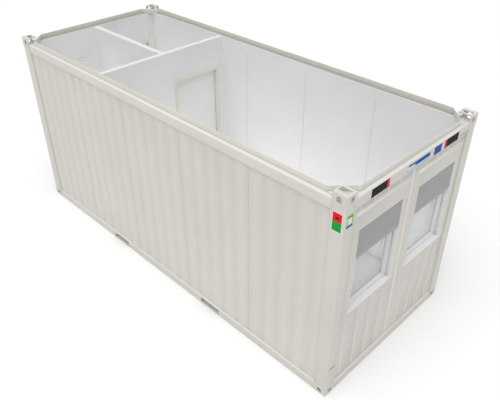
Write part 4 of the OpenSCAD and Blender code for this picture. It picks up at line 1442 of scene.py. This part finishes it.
@dataclass
class Plates:
    """Plain plates and colour patches on the frame, with no lettering."""

    tools: Tools
    film: float = 0.00025
    border: float = 0.005
    red_share: float = 0.115

    def build(self) -> None:
        """Builds the plates and patches."""
        Softened("rail_plates", WHITE_FILM, 0.0005, 1).build()
        for sticker in self.plate_faces() + self.rail_marks() + self.post_marks():
            self.build_sticker(sticker)

    def plate_faces(self) -> list[Sticker]:
        """The dark and the blue faces inside the plates' white borders."""
        found = []
        for number, (low, high) in enumerate(sorted(solids("rail_plates"), key=lambda box: box[0].y)):
            inner_low = (low.y + self.border, low.z + self.border)
            inner_high = (high.y - self.border, high.z - self.border)
            name = f"plate_face_{number + 1}"
            if number == 1:
                found.append(Sticker(name, BLUE_FILM, Side.WINDOW_END, inner_low, inner_high))
                continue
            found.append(Sticker(name, BLACK_FILM, Side.WINDOW_END, inner_low, inner_high))
            # The red end lies towards the middle of the rail
            wide = (high.y - low.y) * self.red_share
            span = (inner_high[0] - 0.004 - wide, inner_high[0] - 0.004) if low.y < 0.0 else (
                inner_low[0] + 0.004, inner_low[0] + 0.004 + wide)
            found.append(Sticker(
                f"plate_red_end_{number + 1}", RED_FILM, Side.WINDOW_END, (span[0], inner_low[1] + 0.004),
                (span[1], inner_high[1] - 0.004), 1))
        return found

    def rail_marks(self) -> list[Sticker]:
        """Plain bars between the plates, and a faint grey strip near the far post."""
        low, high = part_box("rail_plates")
        end = Side.WINDOW_END
        return [
            Sticker("rail_backing_film", PALE_FILM, end, (-0.205, low.z), (0.235, high.z)),
            Sticker("rail_bar_wide", BLUE_FILM, end, (-0.060, low.z + 0.042), (0.225, low.z + 0.092), 1),
            Sticker("rail_bar_tail", BLUE_FILM, end, (-0.185, low.z + 0.070), (-0.060, low.z + 0.092), 1),
            Sticker("rail_bar_thin", PALE_BLUE_FILM, end, (-0.200, low.z + 0.008),
            (0.215, low.z + 0.024), 1),
            Sticker("rail_grey_strip", GREY_FILM, end, (0.870, low.z + 0.016), (1.060, low.z + 0.042)),
        ]

    def post_marks(self) -> list[Sticker]:
        """The colour patches on the near post's two outer faces."""
        end, front = Side.WINDOW_END, Side.FRONT
        return [
            Sticker("front_sticker_edge", WHITE_FILM, front, (2.876, 2.372), (2.998, 2.594)),
            Sticker("front_sticker_red", RED_FILM, front, (2.883, 2.485), (2.991, 2.587), 1),
            Sticker("front_sticker_green", GREEN_FILM, front, (2.883, 2.379), (2.991, 2.485), 1),
            Sticker("front_sticker_spot", DARK_RED_FILM, front, (2.915, 2.515), (2.960, 2.545), 2),
            Sticker("end_sticker_edge", WHITE_FILM, end, (-1.190, 2.425), (-1.080, 2.582)),
            Sticker("end_sticker_lime", LIME_FILM, end, (-1.186, 2.429), (-1.084, 2.578), 1),
            Sticker("end_sticker_middle", WHITE_FILM, end, (-1.168, 2.466), (-1.104, 2.535), 2),
            Sticker("end_sticker_green_bar", GREEN_FILM, end, (-1.178, 2.545), (-1.094, 2.556), 2),
            Sticker("end_sticker_blue_foot", BLUE_FILM, end, (-1.186, 2.429), (-1.084, 2.452), 2),
            Sticker("post_foot_mark", BLUE_FILM, end, (-1.170, 0.432), (-1.085, 0.450), 0, 0.020),
        ]

    def build_sticker(self, sticker: Sticker) -> None:
        """Builds one thin film on its face."""
        _, plate_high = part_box("rail_plates")
        _, post_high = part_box("corner_posts")
        (a, c), (b, d) = sticker.low, sticker.high
        if sticker.side is Side.FRONT:
            near = -post_high.y - sticker.layer * self.film
            low, high = (a, near - self.film, c), (b, near, d)
        else:
            on_plate = sticker.name.startswith("plate")
            near = (plate_high.x if on_plate else post_high.x) + sticker.layer * self.film
            low, high = (near, a, c), (near + self.film, b, d)
        bench = Bench().block(low, high, 0.0)
        middle = (a + b) / 2
        for vert in bench.bm.verts:
            across = vert.co.x if sticker.side is Side.FRONT else vert.co.y
            vert.co.z += sticker.slant * (across - middle) / (b - a)
        bench.done(sticker.name, sticker.finish)


@dataclass
class Studio:
    """A plain pale floor, soft light and the camera."""

    lens: float = 41.356
    place: Colour = (5.3757, -4.7907, 5.6686)
    azimuth: float = -44.975
    elevation: float = -34.602
    sky: float = 0.50
    sun: float = 2.0
    sun_from: Colour = (0.148, -0.32, 0.936)
    sun_spread: float = 60.0
    main_fill: float = 25.0
    small_fill: float = 14.0

    def build(self) -> None:
        """Builds the stage, the lights and the camera."""
        self.build_floor()
        self.build_light()
        self.build_fill()
        self.build_camera()

    def build_floor(self) -> None:
        """A wide matt floor under the castings."""
        mesh = bpy.data.meshes.new("studio_floor")
        reach = 60.0
        mesh.from_pydata([(-reach, -reach, 0.0), (reach, -reach, 0.0), (reach, reach, 0.0),
            (-reach, reach, 0.0)],
                         [], [(0, 1, 2, 3)])
        graph = Graph("studio_floor_paint")
        graph.set(Base_Color=(0.93, 0.93, 0.93), Roughness=0.9, Specular_IOR_Level=0.1)
        mesh.materials.append(graph.material)
        floor = bpy.data.objects.new("studio_floor", mesh)
        bpy.context.scene.collection.objects.link(floor)

    def build_light(self) -> None:
        """An even sky and one broad sun, high and a little to the front."""
        world = bpy.data.worlds.new("studio_sky")
        world.use_nodes = True
        world.node_tree.nodes["Background"].inputs["Color"].default_value = (1.0, 1.0, 1.0, 1.0)
        world.node_tree.nodes["Background"].inputs["Strength"].default_value = self.sky
        bpy.context.scene.world = world
        light = bpy.data.lights.new("studio_sun", "SUN")
        light.energy = self.sun
        light.angle = math.radians(self.sun_spread)
        sun = bpy.data.objects.new("studio_sun", light)
        sun.rotation_mode = "QUATERNION"
        sun.rotation_quaternion = Vector(self.sun_from).to_track_quat("Z", "Y")
        bpy.context.scene.collection.objects.link(sun)

    def build_fill(self) -> None:
        """A soft glow up from each room's floor, so that the walls are lit evenly from top to bottom."""
        partition_low, partition_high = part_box("cross_partition_wide_side")
        divider_low, divider_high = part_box("lengthwise_partition")
        deck_low, deck_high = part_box("floor_deck")
        rooms = (
            (partition_high.x, deck_high.x, deck_low.y, deck_high.y, self.main_fill),
            (deck_low.x, partition_low.x, divider_high.y, deck_high.y, self.small_fill),
            (deck_low.x, partition_low.x, deck_low.y, divider_low.y, self.small_fill),
        )
        for number, (x0, x1, y0, y1, fill) in enumerate(rooms):
            light = bpy.data.lights.new(f"room_glow_{number + 1}", "AREA")
            light.shape = "RECTANGLE"
            light.size, light.size_y = (x1 - x0) * 0.80, (y1 - y0) * 0.40
            light.energy = fill
            lamp = bpy.data.objects.new(light.name, light)
            lamp.location = ((x0 + x1) / 2, (y0 + y1) / 2, deck_high.z + 0.05)
            lamp.rotation_euler = (math.pi, 0.0, 0.0)
            lamp.visible_camera = False
            lamp.visible_glossy = False
            bpy.context.scene.collection.objects.link(lamp)

    def build_camera(self) -> None:
        """A camera above the near corner of the window end."""
        data = bpy.data.cameras.new("camera")
        data.lens = self.lens
        data.sensor_width = 36.0
        camera = bpy.data.objects.new("camera", data)
        az, el = math.radians(self.azimuth), math.radians(self.elevation)
        forward = Vector((math.cos(el) * math.sin(az), math.cos(el) * math.cos(az), math.sin(el)))
        camera.location = self.place
        camera.rotation_mode = "QUATERNION"
        camera.rotation_quaternion = forward.to_track_quat("-Z", "Y")
        bpy.context.scene.collection.objects.link(camera)
        bpy.context.scene.camera = camera
        bpy.context.scene.view_settings.view_transform = "Standard"


def main() -> None:
    """Builds the cabin piece by piece."""
    logging.basicConfig(level=logging.INFO, format="%(name)s: %(message)s")
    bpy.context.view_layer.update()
    tools = Tools(make_stud_recipe(), make_bead_recipe(), make_slat_recipe())
    for assembly in (
        SteelFrame(tools), FloorBuildUp(tools), Cladding(tools), Linings(tools), EndWindows(tools),
        Doors(tools),
        Plates(tools), Studio(),
    ):
        LOG.info("building %s", type(assembly).__name__)
        assembly.build()


if __name__ == "__main__":
    main()
